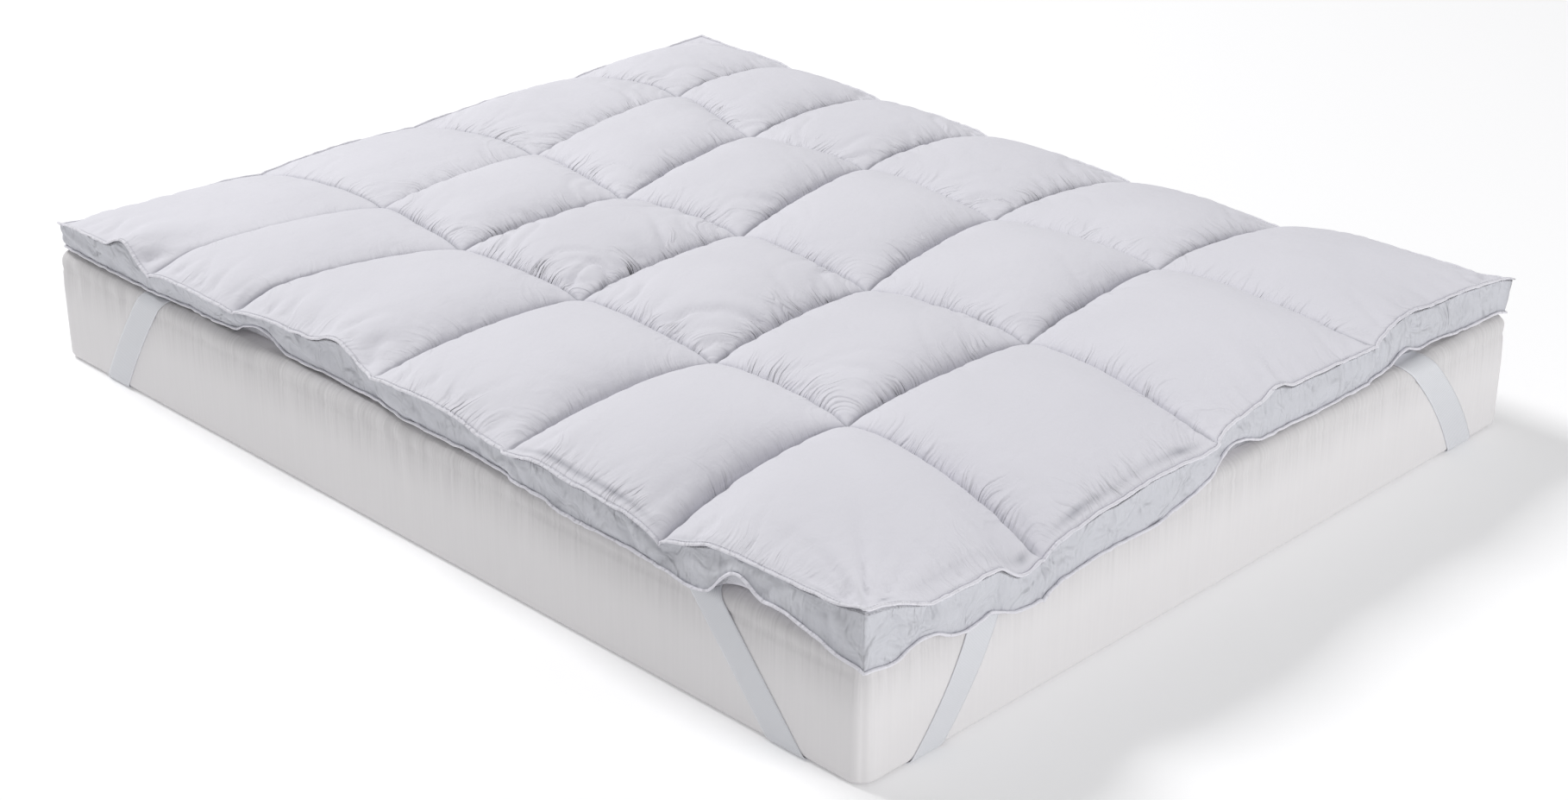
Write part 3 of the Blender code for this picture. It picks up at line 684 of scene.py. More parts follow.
def foldEdges(x, y, chance):
    # folds that leave the piping: mm down
    sunk = np.zeros(x.shape)
    for run, away in ((x, y - y[:, :1]), (x, y[:, -1:] - y), (y, x - x[:1]), (y, x[-1:] - x)):
        place = edgeFolds["first"]
        while place < run.max():
            width, reach = chance.uniform(*edgeFolds["width"]), chance.uniform(*edgeFolds["length"])
            across = run - place - chance.normal(0, edgeFolds["slant"]) * away
            sunk += chance.uniform(*edgeFolds["depth"]) * valley(across, width, 1.6) \
                * eased(away / edgeFolds["start"]) * np.exp(-(away / reach) ** 2)
            place += chance.uniform(*edgeFolds["spacing"])
    return sunk


def creaseDepth(x, y):
    # mm that every point of the top is sunk by folds, and the pattern of the shader's gathers:
    # distance to the nearest crossing, and strength
    stepsP, stepsQ = padMesh["stepsAcross"], padMesh["stepsAlong"]
    sunk, nearest, gathered = np.zeros(x.shape), np.full(x.shape, 9.0), np.zeros(x.shape)
    chance = np.random.default_rng(17)
    pull = padCreases["pull"]
    for i in range(columns):
        for j in range(rows):
            block = (slice(i * stepsP, (i + 1) * stepsP + 1), slice(j * stepsQ, (j + 1) * stepsQ + 1))
            bx, by = x[block], y[block]
            strength = padCreases["strength"][j][i]
            total = np.zeros(bx.shape)
            pulls, weights = (np.full(bx.shape, value) for value in pull["elsewhere"])
            for a, b in ((0, 0), (1, 0), (0, 1), (1, 1)):
                crossing = (bx[-a, -b], by[-a, -b])
                ends = ((bx[-a, b - 1], by[-a, b - 1]), (bx[a - 1, -b], by[a - 1, -b]))
                away = np.hypot(bx - crossing[0], by - crossing[1])
                nearest[block] = np.minimum(nearest[block], away)
                atFreeCorner = (i + a) % columns == 0 and (j + b) % rows == 0
                share = padCreases["cornerShares"][0 if atFreeCorner else 1 if a + b == 0 else 2]
                weight = np.exp(-(away / pull["reach"]) ** 2)
                pulls += weight * share * (1 - pull["calm"] * np.exp(-(away / pull["calmReach"]) ** 2))
                weights += weight
                total += roundCrossing(bx, by, crossing, ends, share * strength,
                                       padCreases["rounds"][j][i], chance)
            sunk[block] = np.maximum(sunk[block], total)
            gathered[block] = np.maximum(gathered[block], strength * pulls / weights)
    sunk += foldRays(x, y, chance)
    sunk += foldEdges(x, y, chance)
    for height, size, seed in padCreases["patternDrift"]:
        nearest += height * ripple(x / size, y / size, seed)
    return sunk, nearest, gathered


# the side wall is slack: folds that the pinches draw in, side, place in boxes, depth in mm,
# width, slant over the wall's height
wallFolds = (
    ("front", 0.16, 5.0, 0.010, 0.020), ("front", 0.31, 6.5, 0.013, -0.030),
    ("front", 0.52, 3.5, 0.010, 0.025), ("front", 0.74, 4.5, 0.011, -0.020),
    ("front", 0.93, 5.5, 0.012, 0.030), ("front", 1.12, 5.0, 0.013, -0.040),
    ("front", 1.34, 3.5, 0.012, 0.030), ("front", 1.78, 3.5, 0.014, -0.035),
    ("front", 2.05, 5.0, 0.013, 0.025), ("front", 2.38, 3.5, 0.012, -0.025),
    ("front", 2.86, 4.0, 0.012, 0.030), ("front", 3.10, 5.0, 0.012, -0.030),
    ("front", 3.34, 4.5, 0.010, 0.020), ("front", 3.66, 4.0, 0.012, -0.020),
    ("left", 0.18, 3.5, 0.012, 0.025), ("left", 0.44, 4.0, 0.012, -0.040),
    ("left", 0.68, 4.5, 0.012, 0.030), ("left", 0.95, 4.5, 0.012, -0.030),
    ("left", 1.20, 3.5, 0.014, 0.040), ("left", 1.62, 3.0, 0.014, -0.030),
    ("left", 1.94, 4.0, 0.012, 0.030), ("left", 2.25, 3.5, 0.012, -0.030),
    ("left", 2.70, 3.0, 0.013, 0.030), ("left", 3.05, 4.5, 0.012, -0.025),
    ("left", 3.35, 3.5, 0.012, 0.030), ("left", 3.80, 4.5, 0.013, -0.040),
    ("left", 4.15, 3.5, 0.012, 0.030), ("left", 4.70, 3.0, 0.012, -0.025),
    ("left", 5.10, 4.0, 0.012, 0.030), ("left", 5.45, 3.0, 0.012, -0.030),
)
wallShape = {
    "bulge": 1.5,  # mm
    "slow": (5.0, 0.060, 31),  # unevenness in mm, its size, seed
    "quick": (2.2, 0.021, 32),
    "foldShare": 1.7,
    "seamRise": 1.5,  # mm that both seams pucker up and down, and in and out
    "seamSide": 1.0,
    "seamSizes": (0.013, 0.038, 0.017),  # of the fine and wide puckers, and of those in and out
    "seamShare": 0.12,  # of the wall's height that moves with a seam
    "topShare": 0.010,  # metres of the top that do
    "topRows": 9,  # rows of its points that follow the seam right beside them
    "gatherFade": 0.06,  # the shader's gathers: fading up or down from each seam, and strength
    "gathered": 0.35,
}


def roundRipple(ring, size, seed, down=0.0):
    # unevenness that runs unbroken round the corners of a ring of points
    return ripple(ring[:, 0] / size + 1.3 * down, ring[:, 1] / size + 2.1 * down, seed)


def seamRise(ring, seed):
    fine, wide, _ = wallShape["seamSizes"]
    puckers = 0.6 * roundRipple(ring, fine, seed) + roundRipple(ring, wide, seed + 5)
    return wallShape["seamRise"] * puckers * mm


def wallDepth(ring, along, down, walk):
    # mm that the wall is sunk at each of its points, a share of the way down
    depth, size, seed = wallShape["slow"]
    sunk = -depth * roundRipple(ring, size, seed, down)
    depth, size, seed = wallShape["quick"]
    sunk -= depth * roundRipple(ring, size, seed, down * 0.6)
    start = 0
    for side, place, _, _ in walk:
        piece = slice(start, start + len(place))
        start += len(place)
        order = np.argsort(place)
        for foldSide, centre, depth, width, slant in wallFolds:
            if side == foldSide:
                here = np.interp(centre, place[order], along[piece][order])
                across = along[piece] - here - slant * (down - 0.5)
                sunk[piece] += depth * wallShape["foldShare"] * valley(across, width, 1.5)
    return sunk * math.sin(math.pi * down) - wallShape["bulge"] * math.sin(math.pi * down) ** 2


def creaseTop(skin, toSeam, toRim):
    # sink the folds and the stitches into the top, and let its seams wander
    points, index = skin["points"], skin["index"]
    x, y = points[index, 0], points[index, 1]
    fades = padCreases["rimFades"]
    sunk, nearest, gathered = creaseDepth(x, y)
    sunk *= 1 - np.exp(-toSeam / padCreases["startFade"])
    depth, size, seed = padCreases["crumple"]
    sunk += depth * ripple(x / size, y / size, seed) * eased(toSeam / padCreases["crumpleFade"])
    sunk += padCreases["seamSink"] * np.exp(-toSeam / padCreases["seamWidth"]) \
        * eased(toRim / fades["groove"])
    top = points[index]
    normal = np.cross(np.gradient(top, axis=0), np.gradient(top, axis=1))
    normal /= np.linalg.norm(normal, axis=-1, keepdims=True)
    normal *= eased(toRim / fades["relief"])[..., None]
    top = top - normal * sunk[..., None] * mm
    drift = padCreases["seamDrift"] * mm * eased(toRim / fades["drift"])
    near, far = padCreases["driftSize"]
    top[..., 0] += drift * ripple(y / near, x / far, 42)
    top[..., 1] += drift * ripple(x / near, y / far, 43)
    points[index] = top
    return nearest, gathered


def puckerSeams(skin, ring, toRim, fromEdge):
    # both seams rise and fall and move in and out, and what is beside them goes along
    points, index, upper = skin["points"], skin["index"], skin["upper"]
    _, out = outwardOf(ring)
    for edge, seed in ((0, 51), (1, 52)):
        rise = seamRise(ring, seed)
        aside = wallShape["seamSide"] * roundRipple(ring, wallShape["seamSizes"][2], seed + 9) * mm
        for line, down in zip([upper, *skin["wall"]], [0, *wallDowns]):
            near = math.exp(-abs(down - edge) / wallShape["seamShare"])
            points[line, 2] += rise * near
            points[line] += out * (aside * near)[:, None]
    numberOf = np.zeros(index.size, int)
    numberOf[upper] = np.arange(len(upper))
    edges = np.broadcast_arrays(*(numberOf[side] for side in (index[:1], index[-1:], index[:, :1],
                                                              index[:, -1:])))
    p, q = skin["p"], skin["q"]
    closest = np.argmin(np.stack([p, columns - p, q, rows - q]), axis=0)
    beside = np.take_along_axis(np.stack(edges), closest[None], axis=0)[0]
    # farther in the lift is under 0.03 mm, and the ring's first point stands for the rest
    i, j = np.indices(index.shape)
    rowsIn = np.minimum(np.minimum(i, i[::-1]), np.minimum(j, j[:, ::-1]))
    beside[rowsIn >= wallShape["topRows"]] = 0
    lift = seamRise(ring, 51)[beside] * np.exp(-fromEdge / wallShape["topShare"])
    inner = toRim > 0
    points[index[inner], 2] += lift[inner]


def makePad():
    skin = buildPadSkin()
    points, index, upper = skin["points"], skin["index"], skin["upper"]
    p, q = skin["p"], skin["q"]
    # distances of the top's points: to the nearest seam and the edge in metres, to the rim in
    # boxes
    x, y = points[index, 0], points[index, 1]
    toSeam = np.minimum(np.abs(x - linePlace(padShape["acrossLines"], np.round(p), q)),
                        np.abs(y - linePlace(padShape["alongLines"], np.round(q), p)))
    toEdge = np.minimum(np.minimum(x - x[:1], x[-1:] - x), np.minimum(y - y[:, :1], y[:, -1:] - y))
    toRim = np.minimum(np.minimum(p, columns - p), np.minimum(q, rows - q))
    fromSeam, alongSeam, gathered, sideWall, groove = (np.zeros(len(points)) for _ in range(5))
    fromSeam[index] = toSeam
    alongSeam[index], gathered[index] = creaseTop(skin, toSeam, toRim)
    # painted shade: a thin darker line of colour along each seam, for the shade in the stitched groove
    groove[index] = padCreases["grooveShade"] * np.exp(-toSeam / padCreases["grooveWidth"]) \
        * eased(toRim / padCreases["rimFades"]["groove"])
    ring = points[upper]
    along = lengthAlong(ring)
    for line, down in zip(skin["wall"], wallDowns):
        _, out = outwardOf(points[line])
        points[line] -= out * (wallDepth(ring, along, down, skin["walk"]) * mm)[:, None]
        fromSeam[line] = wallShape["gatherFade"] * min(down, 1 - down)
        alongSeam[line] = mirrored(along)
        gathered[line] = wallShape["gathered"]
        sideWall[line] = 1
    puckerSeams(skin, ring, toRim, toEdge)
    piece = meshPiece("quiltedPad", points, skin["faces"], padCotton,
                      ["topper"])
    setAttributes(piece, fromSeam=fromSeam, alongSeam=alongSeam, gathered=gathered,
                  sideWall=sideWall, groove=groove)
    sharpenSeams(piece, upper, skin["lower"])
    note("quilted pad sewn and creased, %d points" % len(points))
    return piece, skin


quiltedPad, padSkin = makePad()


# piped edges: a tube of the same cloth round each seam, sizes in mm

pipingShape = {"reach": 2.7, "thickness": 2.2, "clearance": 0.1, "wander": 0.35, "pucker": 11.0,
               "sides": 10, "fromSeam": 4.0, "gathered": 0.5}


def makePiping(name, seam, node, seed):
    ring = padSkin["points"][seam]
    way, out = outwardOf(ring)
    up = np.cross(out, way)
    up *= np.sign(up[:, 2:3])
    centre = ring + out * (pipingShape["reach"] + pipingShape["clearance"]) * mm
    sides, count = pipingShape["sides"], len(ring)
    points = []
    for side in range(sides):
        angle = math.tau * side / sides
        swell = 1 + pipingShape["wander"] * roundRipple(ring, pipingShape["pucker"] * mm,
                                                        seed + side // 3)[:, None]
        across = out * math.cos(angle) * pipingShape["reach"]
        points.append(centre + (across + up * math.sin(angle) * pipingShape["thickness"]) * swell * mm)
    numbers = np.arange(count * sides).reshape(sides, count)
    faces = [face for side in range(sides)
             for face in ringFaces(numbers[side], numbers[(side + 1) % sides])]
    piece = meshPiece(name, np.concatenate(points), faces, pipingCotton, [node])
    setAttributes(piece, fromSeam=np.full(count * sides, pipingShape["fromSeam"] * mm),
                  alongSeam=np.tile(mirrored(lengthAlong(ring)), sides),
                  gathered=np.full(count * sides, pipingShape["gathered"]))
    return piece


upperPiping = makePiping("upperPiping", padSkin["upper"], "upper_piping", 21)
lowerPiping = makePiping("lowerPiping", padSkin["lower"], "lower_piping", 22)
note("piped edges made")


# stitches: rows of thread along the quilting lines and beside the piping, sizes in mm

threadShape = {
    "radius": 0.45, "stitch": 4.2, "gap": 1.3, "raise": 0.5,
    "besideSeam": 0.75,  # share of the first face in from the upper seam
    "belowSeam": 0.8,  # and of the first one down the wall
    "wallRaise": 1.6,
    # a stitch is a low arch whose ends dip into the cloth: share of its length, height and
    # size as shares of the radius
    "arch": ((0.0, -0.5, 0.6), (0.2, 0.3, 1.0), (0.8, 0.3, 1.0), (1.0, -0.5, 0.6)),
}


def stitchRow(line, lift):
    # the two ends of each stitch along a line of points
    line = line + lift * threadShape["raise"] * mm
    length = lengthAlong(line)
    pitch = (threadShape["stitch"] + threadShape["gap"]) * mm
    starts = np.arange(0.5 * pitch, length[-1] - pitch, pitch)
    return [np.stack([np.interp(at, length, line[:, k]) for k in range(3)], axis=1)
            for at in (starts, starts + threadShape["stitch"] * mm)]


def makeThread():
    points, index = padSkin["points"], padSkin["index"]
    upward = np.array([0.0, 0.0, 1.0])
    lines = [points[index[column * padMesh["stepsAcross"], :]] for column in range(1, columns)]
    lines += [points[index[:, row * padMesh["stepsAlong"]]] for row in range(1, rows)]
    seam, inner = points[padSkin["upper"]], points[rimPoints(index, 1)]
    lines.append(seam + (inner - seam) * threadShape["besideSeam"])
    stitches = [stitchRow(line, upward) for line in lines]
    firstWall = points[padSkin["wall"][0]]
    _, out = outwardOf(seam)
    stitches.append(stitchRow(seam + (firstWall - seam) * threadShape["belowSeam"],
                              out * threadShape["wallRaise"]))
    starts, ends = (np.concatenate(half) for half in zip(*stitches))
    way = ends - starts
    way /= np.linalg.norm(way, axis=1, keepdims=True)
    side = np.cross(way, upward)
    side /= np.maximum(np.linalg.norm(side, axis=1, keepdims=True), 1e-9)
    over = np.cross(side, way)
    radius = threadShape["radius"] * mm
    sections = []
    for share, sink, size in threadShape["arch"]:
        middle = starts + (ends - starts) * share + over * radius * sink
        for angle in (0, 90, 180, 270):
            turn = math.radians(angle)
            sections.append(middle + (side * math.cos(turn) + over * math.sin(turn)) * radius * size)
    body = np.stack(sections, axis=1)
    oneStitch = [[a, b, b + 4, a + 4] for ring in (0, 4, 8)
                 for a, b in ((ring, ring + 1), (ring + 1, ring + 2), (ring + 2, ring + 3),
                              (ring + 3, ring))]
    oneStitch += [[3, 2, 1, 0], [12, 13, 14, 15]]
    firsts = body.shape[1] * np.arange(len(starts))[:, None, None]
    faces = (np.array(oneStitch) + firsts).reshape(-1, 4).tolist()
    return meshPiece("quiltingThread", body.reshape(-1, 3), faces, threadSpun)


quiltingThread = makeThread()
note("stitches laid")


# the mattress: a plain block in a cover that is gathered towards its top

mattressShape = {
    "uprightRadius": 0.030,
    "topRadius": 0.020,
    "bottomRadius": 0.012,
    "around": 0.0055,  # spacing of points round the side
    "cornerSteps": 16,
    "sideRows": 26,
    "topSteps": 6,
    "bottomSteps": 4,
    "topInsets": (0.10, 0.05),
    "underInsets": (0.024, 0.038, 0.052, 0.066, 0.080, 0.10, 0.13, 0.17),
    "gatherDepth": 5.5,  # mm at the top of the side
    "gatherStart": 0.02,  # below the top, where it begins to fade
    "gatherFade": 0.050,
    "wideGather": (0.021, 0.14, 5),  # size across and down, seed
    "narrowGather": (0.0135, 0.09, 7),
    "wideShare": 0.65,
    "sway": (0.9, 0.2, 0.05),  # of the wide gathers: how far, size across and down
    "looseDepth": 0.9,  # mm of slow waves over the whole side
    "looseSize": (0.16, 0.11),
    "hemDepth": 1.6,  # mm
    "hemBelow": 0.034,
    "seamDepth": 1.3,  # mm
    "grooveWidth": 0.0035,  # of the hem and of the upright seams
    "underStrap": 0.8,  # share of the gathers that a strap presses flat
    "pressReach": 0.060,  # how far from a strap's middle, and over what width that fades
    "pressFade": 0.020,
    "sideDepth": 0.03,  # what counts as the side, in from its face
    "gatherInset": 0.02,
    "gatherBottom": 0.004,  # the gathers end this far above the floor
    "noGather": 0.2,  # distance below the top that stands for cloth without gathers
    # the underside is let in where a strap passes under a corner: how high, how far past the
    # strap's middle, the share of the way in where it ends and over which it fades
    "reliefHeight": 0.0026,
    "reliefMargin": 0.05,
    "reliefEnd": 1.22,
    "reliefFade": 0.18,
    "reliefTop": 0.013,  # only points below this are lifted
}
strapTable = (
    # name, side x, side y, long top, long bottom, long bow, short top, short bottom, short bow
    ("strap_front", -1, -1, 0.317, 0.142, 0.000, 0.250, 0.124, 0.018),
    ("strap_left", -1, 1, 0.315, 0.174, -0.006, 0.270, 0.140, 0.000),
    ("strap_right", 1, -1, 0.310, 0.160, 0.000, 0.288, 0.130, -0.016),
    ("strap_back", 1, 1, 0.310, 0.160, 0.000, 0.270, 0.140, 0.000),
)


def plotRound():
    # points round the mattress's plan, outward directions, distance from an upright seam
    width, length = mattressSize["width"], mattressSize["length"]
    radius, cornerSteps = mattressShape["uprightRadius"], mattressShape["cornerSteps"]
    spots, outs, seams = [], [], []
    corners = ((radius, radius, 180), (width - radius, radius, 270),
               (width - radius, length - radius, 0), (radius, length - radius, 90))
    for number, (x, y, start) in enumerate(corners):
        for step in range(cornerSteps + 1):
            angle = math.radians(start + 90 * step / cornerSteps)
            outs.append((math.cos(angle), math.sin(angle)))
            spots.append((x + radius * outs[-1][0], y + radius * outs[-1][1]))
            seams.append(abs(step / cornerSteps - 0.5) * math.pi / 2 * radius)
        nextX, nextY, _ = corners[(number + 1) % 4]
        steps = int(math.hypot(nextX - x, nextY - y) / mattressShape["around"])
        for step in range(1, steps):
            outs.append(outs[-1])
            share = step / steps
            spots.append((x + (nextX - x) * share + radius * outs[-1][0],
                          y + (nextY - y) * share + radius * outs[-1][1]))
            seams.append(1.0)
    return np.array(spots), np.array(outs), np.array(seams)


def coverProfile():
    # inset from the side and height, from the middle of the top, down the side and under
    height = mattressSize["height"]
    top, bottom = mattressShape["topRadius"], mattressShape["bottomRadius"]
    profile = [(inset, height) for inset in mattressShape["topInsets"]]
    for step in range(mattressShape["topSteps"] + 1):
        angle = math.radians(90 * step / mattressShape["topSteps"])
        profile.append((top - top * math.sin(angle), height - top + top * math.cos(angle)))
    low, high = bottom, height - top
    for row in range(1, mattressShape["sideRows"]):
        profile.append((0.0, high + (low - high) * row / mattressShape["sideRows"]))
    for step in range(mattressShape["bottomSteps"] + 1):
        angle = math.radians(90 * step / mattressShape["bottomSteps"])
        profile.append((bottom - bottom * math.cos(angle), bottom - bottom * math.sin(angle)))
    return profile + [(inset, 0.0) for inset in mattressShape["underInsets"]]


def inFrom(x, y, sideX, sideY):
    # distances in from the two sides that meet at a corner
    return (x if sideX < 0 else mattressSize["width"] - x,
            y if sideY < 0 else mattressSize["length"] - y)


def reliefAt(x, y):
    # how far the underside is lifted where a strap passes under a corner
    lift = np.zeros(x.shape)
    for _, sideX, sideY, _, longLow, _, _, shortLow, _ in strapTable:
        inX, inY = inFrom(x, y, sideX, sideY)
        share = inX / (shortLow + mattressShape["reliefMargin"]) \
            + inY / (longLow + mattressShape["reliefMargin"])
        lift = np.maximum(lift, (mattressShape["reliefEnd"] - share) / mattressShape["reliefFade"])
    return eased(lift) * mattressShape["reliefHeight"]


def strapBeside(x, y, z):
    # 1 where a strap presses on the side, so that the cover lies flat under it
    pressed = np.zeros(x.shape)
    share = np.clip(z / mattressSize["height"], 0, 1)
    for _, sideX, sideY, *ways in strapTable:
        inX, inY = inFrom(x, y, sideX, sideY)
        for near, place, (top, low, bow) in ((inX, inY, ways[:3]), (inY, inX, ways[3:])):
            middle = low + (top - low) * share + bow * 4 * share * (1 - share)
            close = np.clip((mattressShape["pressReach"] - np.abs(place - middle))
                            / mattressShape["pressFade"], 0, 1)
            pressed = np.maximum(pressed, close * (near < mattressShape["sideDepth"]))
    return pressed


def coverRelief(gone, seams, drop, z):
    # mm that the cover is drawn in: gathers and loose waves, the hem and the upright seams
    wide, narrow = mattressShape["wideGather"], mattressShape["narrowGather"]
    far, swayAcross, swayDown = mattressShape["sway"]
    drops = np.full(gone.shape, drop)
    sway = far * ripple(gone / swayAcross, drops / swayDown, 3)
    fold = mattressShape["wideShare"] * (0.5 + 0.5 * ripple(gone / wide[0] + sway, drops / wide[1],
                                                            wide[2]))
    fold = fold + (1 - mattressShape["wideShare"]) * (0.5 + 0.5 * ripple(
        gone / narrow[0], drops / narrow[1], narrow[2]))
    fade = math.exp(-max(0.0, drop - mattressShape["gatherStart"]) / mattressShape["gatherFade"])
    across, down = mattressShape["looseSize"]
    loose = 0.5 + 0.5 * ripple(gone / across, np.full(gone.shape, z) / down, 9)
    soft = mattressShape["gatherDepth"] * fade * fold + mattressShape["looseDepth"] * loose
    width = mattressShape["grooveWidth"]
    sewn = mattressShape["hemDepth"] * math.exp(-((drop - mattressShape["hemBelow"]) / width) ** 2)
    return soft, sewn + mattressShape["seamDepth"] * np.exp(-(seams / width) ** 2)


def makeMattress():
    spots, outs, seams = plotRound()
    gone = mirrored(lengthAlong(spots))
    count, height = len(spots), mattressSize["height"]
    points, below = [], []
    for inset, z in coverProfile():
        base, level, drop = spots - outs * inset, np.full(count, z), height - z
        calm = 1 - mattressShape["underStrap"] * strapBeside(base[:, 0], base[:, 1], level)
        soft, sewn = coverRelief(gone, seams, drop, z)
        onSide = float(inset < mattressShape["gatherInset"] and z > mattressShape["gatherBottom"])
        spot = base - outs * ((soft * calm + sewn) * mm * onSide)[:, None]
        if z < mattressShape["reliefTop"]:
            level = np.maximum(level, reliefAt(spot[:, 0], spot[:, 1]))
        points.append(np.column_stack([spot, level]))
        onEdge = inset < mattressShape["sideDepth"]
        below.append(np.full(count, drop if onEdge else mattressShape["noGather"]))
    numbers = np.arange(len(points) * count).reshape(-1, count)
    faces = [face for first, second in zip(numbers, numbers[1:]) for face in ringFaces(first, second)]
    topMiddle, lowMiddle = numbers.size, numbers.size + 1
    for ends in zip(numbers[0], np.roll(numbers[0], -1), numbers[-1], np.roll(numbers[-1], -1)):
        topHere, topNext, lowHere, lowNext = (int(end) for end in ends)
        faces += [[topMiddle, topHere, topNext], [lowMiddle, lowNext, lowHere]]
    middle = (mattressSize["width"] / 2, mattressSize["length"] / 2)
    points.append(np.array([[*middle, height], [*middle, 0.0]]))
    piece = meshPiece("mattressBlock", np.concatenate(points), faces, coverCloth,
                      ["mattress"])
    setAttributes(piece, aroundSide=np.concatenate([np.tile(gone, len(below)), [0, 0]]),
                  belowTop=np.concatenate(below + [[mattressShape["noGather"]] * 2]))
    return piece


mattressBlock = makeMattress()
note("mattress covered")


# corner straps: flat elastic, down one side, under the corner and up the other

strapShape = {
    "width": 0.055,
    "thickness": 0.0016,
    "bendRadius": 0.006,
    "gap": 0.0003,
    "tuck": 0.025,  # sewn in under the pad
    "faceSteps": 24,
    "bendSteps": 6,
    "acrossSteps": 14,
    "edgeRoll": 0.25,  # the edges are this share thinner
}


def strapProfile():
    # outward reach, height, outward direction, up direction of the strap's inner surface
    gap, radius, steps = strapShape["gap"], strapShape["bendRadius"], strapShape["bendSteps"]
    topRadius = mattressShape["topRadius"]
    out, up = gap - radius, strapShape["thickness"] + gap + radius
    found = []
    for step in range(steps + 1):
        angle = math.radians(90 * (1 - step / steps))
        found.append((out + radius * math.cos(angle), up - radius * math.sin(angle),
                      math.cos(angle), -math.sin(angle)))
    start, out, up = found[-1][1], -topRadius, mattressSize["height"] - topRadius
    for step in range(1, strapShape["faceSteps"]):
        found.append((gap, start + (up - start) * step / strapShape["faceSteps"], 1.0, 0.0))
    for step in range(steps + 1):
        angle = math.radians(90 * step / steps)
        found.append((out + (topRadius + gap) * math.cos(angle),
                      up + (topRadius + gap) * math.sin(angle), math.cos(angle), math.sin(angle)))
    return found + [(found[-1][0] - strapShape["tuck"], found[-1][1], 0.0, 1.0)]


def strapSections(top, bottom, bow):
    height = mattressSize["height"]
    half = strapShape["width"] * math.hypot(1.0, (top - bottom) / height) / 2
    sections = []
    for out, up, normalOut, normalUp in strapProfile():
        share = min(1.0, up / height)
        middle = bottom + (top - bottom) * share + bow * 4 * share * (1 - share)
        inner, outer = [], []
        for step in range(strapShape["acrossSteps"] + 1):
            across = 2 * step / strapShape["acrossSteps"] - 1
            lift = strapShape["thickness"] * (1 - strapShape["edgeRoll"] * abs(across) ** 8)
            inner.append((out, middle + half * across, up))
            outer.append((out + lift * normalOut, middle + half * across, up + lift * normalUp))
        sections.append(inner + outer[::-1])
    return sections


def makeStrap(name, sideX, sideY, *ways):
    farX = mattressSize["width"] if sideX > 0 else 0.0
    farY = mattressSize["length"] if sideY > 0 else 0.0
    body = [[(farX + sideX * out, farY - sideY * along, up) for out, along, up in section]
            for section in reversed(strapSections(*ways[:3]))]
    body += [[(farX - sideX * along, farY + sideY * out, up) for out, along, up in section]
             for section in strapSections(*ways[3:])]
    body = np.array(body)
    ringSize = body.shape[1]
    numbers = np.arange(body.shape[0] * ringSize).reshape(-1, ringSize)
    faces = [face for first, second in zip(numbers, numbers[1:]) for face in ringFaces(first, second)]
    faces += [numbers[0][::-1].tolist(), numbers[-1].tolist()]
    if sideX * sideY < 0:
        faces = [face[::-1] for face in faces]
    first, second = name.split("_")
    piece = meshPiece(first + second.capitalize(), body.reshape(-1, 3), faces, strapElastic,
                      [name])
    gone = lengthAlong(body.mean(axis=1))
    spread = np.linspace(-0.5, 0.5, strapShape["acrossSteps"] + 1) * strapShape["width"]
    setAttributes(piece, acrossStrap=np.tile(np.concatenate([spread, spread[::-1]]), len(body)),
                  alongStrap=np.repeat(gone, ringSize))
    return piece


straps = [makeStrap(*row) for row in strapTable]
note("straps stretched round the corners")


# floor, light and camera

stageSetup = {
    "floorColour": "#FAFAFB",
    "floorGlow": 0.11,  # the floor is lit by itself, so it stays white on the shadow side
    "floorSize": 44.0,
    "floorBelow": 0.0005,
    "worldColour": "#FFFFFF",
    "worldStrength": 0.46,
    # name, place, width, watts, colour: high behind the far short side, and low in front
    "lights": (("softBehind", (-1.3, 7.7, 9.2), 3.8, 860, "#FFFFFF"),
               ("softFront", (0.0, -5.4, 1.5), 2.4, 82, "#FFFFFF")),
    "aim": (0, 0, 0.2),
}


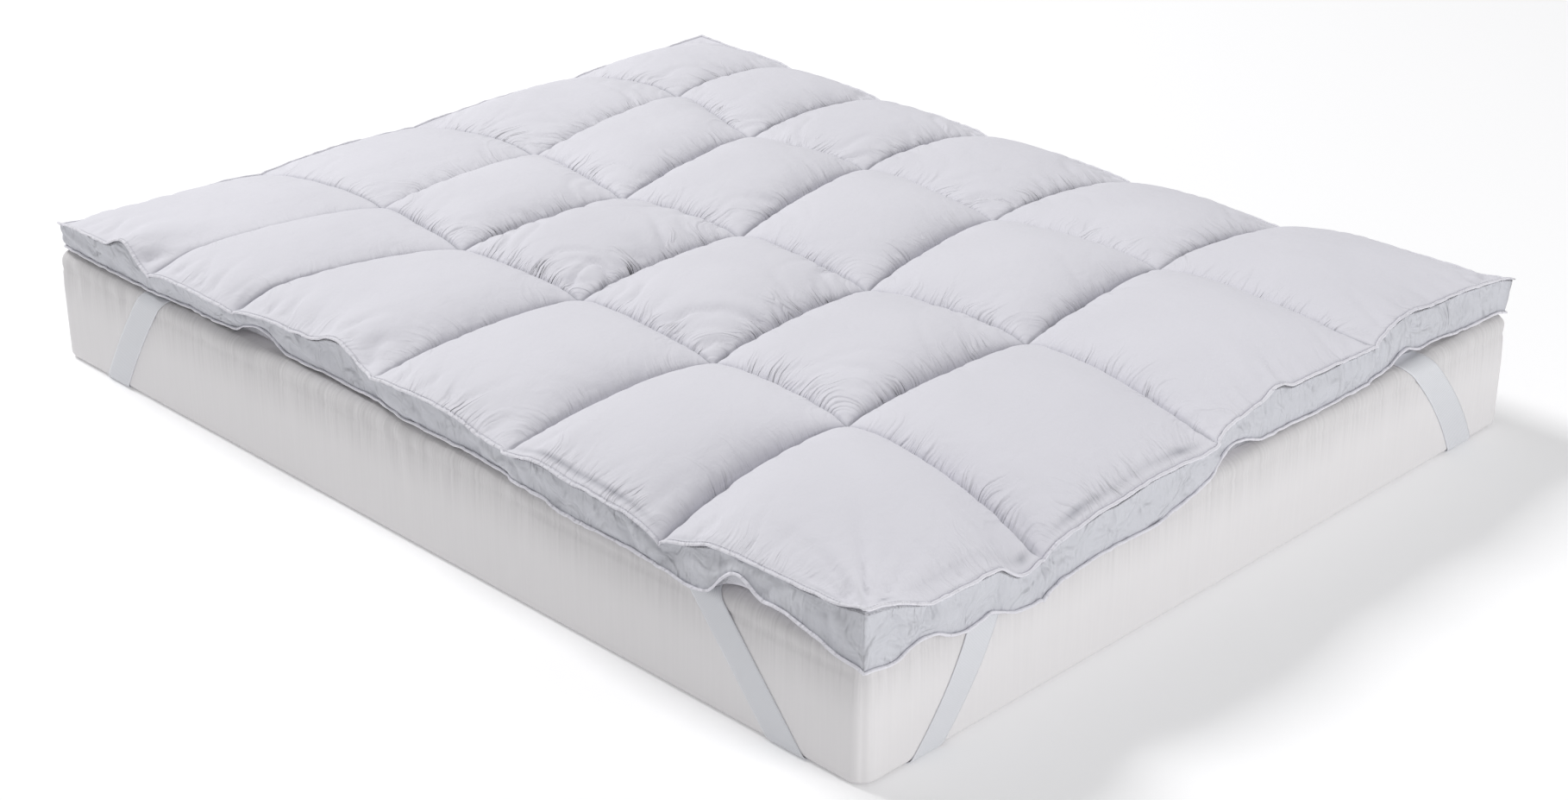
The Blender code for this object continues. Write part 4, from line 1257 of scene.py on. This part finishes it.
def makeStage():
    half = stageSetup["floorSize"] / 2
    mesh = bpy.data.meshes.new("studioFloor")
    mesh.from_pydata([(-half, -half, 0), (half, -half, 0), (half, half, 0), (-half, half, 0)], [],
                     [(0, 1, 2, 3)])
    # Painted studio floor: matt and pale, rolled on, so it gives only a soft contact shadow.
    paint = linearColour(stageSetup["floorColour"])
    material, _, _ = newMaterial("matt_studio_paint", {
        "Roughness": 0.9, "Base Color": paint, "Emission Color": paint,
        "Emission Strength": stageSetup["floorGlow"],
    })
    mesh.materials.append(material)
    floor = placed("studioFloor", mesh)
    floor.location.z = -stageSetup["floorBelow"]
    world = bpy.data.worlds.new("studioLight")
    world.use_nodes = True
    background = world.node_tree.nodes["Background"]
    background.inputs["Color"].default_value = linearColour(stageSetup["worldColour"])
    background.inputs["Strength"].default_value = stageSetup["worldStrength"]
    bpy.context.scene.world = world
    for name, place, size, watts, colour in stageSetup["lights"]:
        light = bpy.data.lights.new(name, "AREA")
        light.size = size
        light.energy = watts
        light.color = linearColour(colour)[:3]
        lamp = placed(name, light)
        lamp.location = place
        aim = Vector(stageSetup["aim"]) - lamp.location
        lamp.rotation_euler = aim.to_track_quat("-Z", "Y").to_euler()
    bpy.context.scene.view_settings.view_transform = "Standard"
    bpy.context.scene.view_settings.look = "None"


viewSetup = {
    "place": (-2.2, -2.053, 2.031),  # from the mattress's front bottom corner
    "yaw": 45.47,
    "pitch": 26.07,
    "focal": 3400.0,  # pixels, at the photograph's width
    "zoom": 0.91,  # so that the corners that the photograph cuts off are inside the picture
    "imageWidth": 1818.0,
    "centreShift": (-29.0, -24.0),  # pixels from the photograph's middle to the object's
    "sensorWidth": 36.0,  # mm
    "farEnd": 60.0,
}


def makeCamera():
    shiftX, shiftY = (math.atan(shift / viewSetup["focal"]) for shift in viewSetup["centreShift"])
    yaw = math.radians(viewSetup["yaw"]) + shiftX
    pitch = math.radians(viewSetup["pitch"]) + shiftY
    ahead = Vector((math.sin(yaw) * math.cos(pitch), math.cos(yaw) * math.cos(pitch),
                    -math.sin(pitch)))
    right = Vector((math.cos(yaw), -math.sin(yaw), 0.0))
    up = right.cross(ahead)
    turn = Matrix((right, up, -ahead)).transposed().to_4x4()
    data = bpy.data.cameras.new("studioCamera")
    data.sensor_width = viewSetup["sensorWidth"]
    data.lens = viewSetup["focal"] / viewSetup["imageWidth"] * viewSetup["sensorWidth"] \
        * viewSetup["zoom"]
    data.clip_end = viewSetup["farEnd"]
    camera = placed("studioCamera", data)
    camera.matrix_world = Matrix.Translation(Vector(corner) + Vector(viewSetup["place"])) @ turn
    bpy.context.scene.camera = camera


makeStage()
makeCamera()
note("stage, light and camera set")
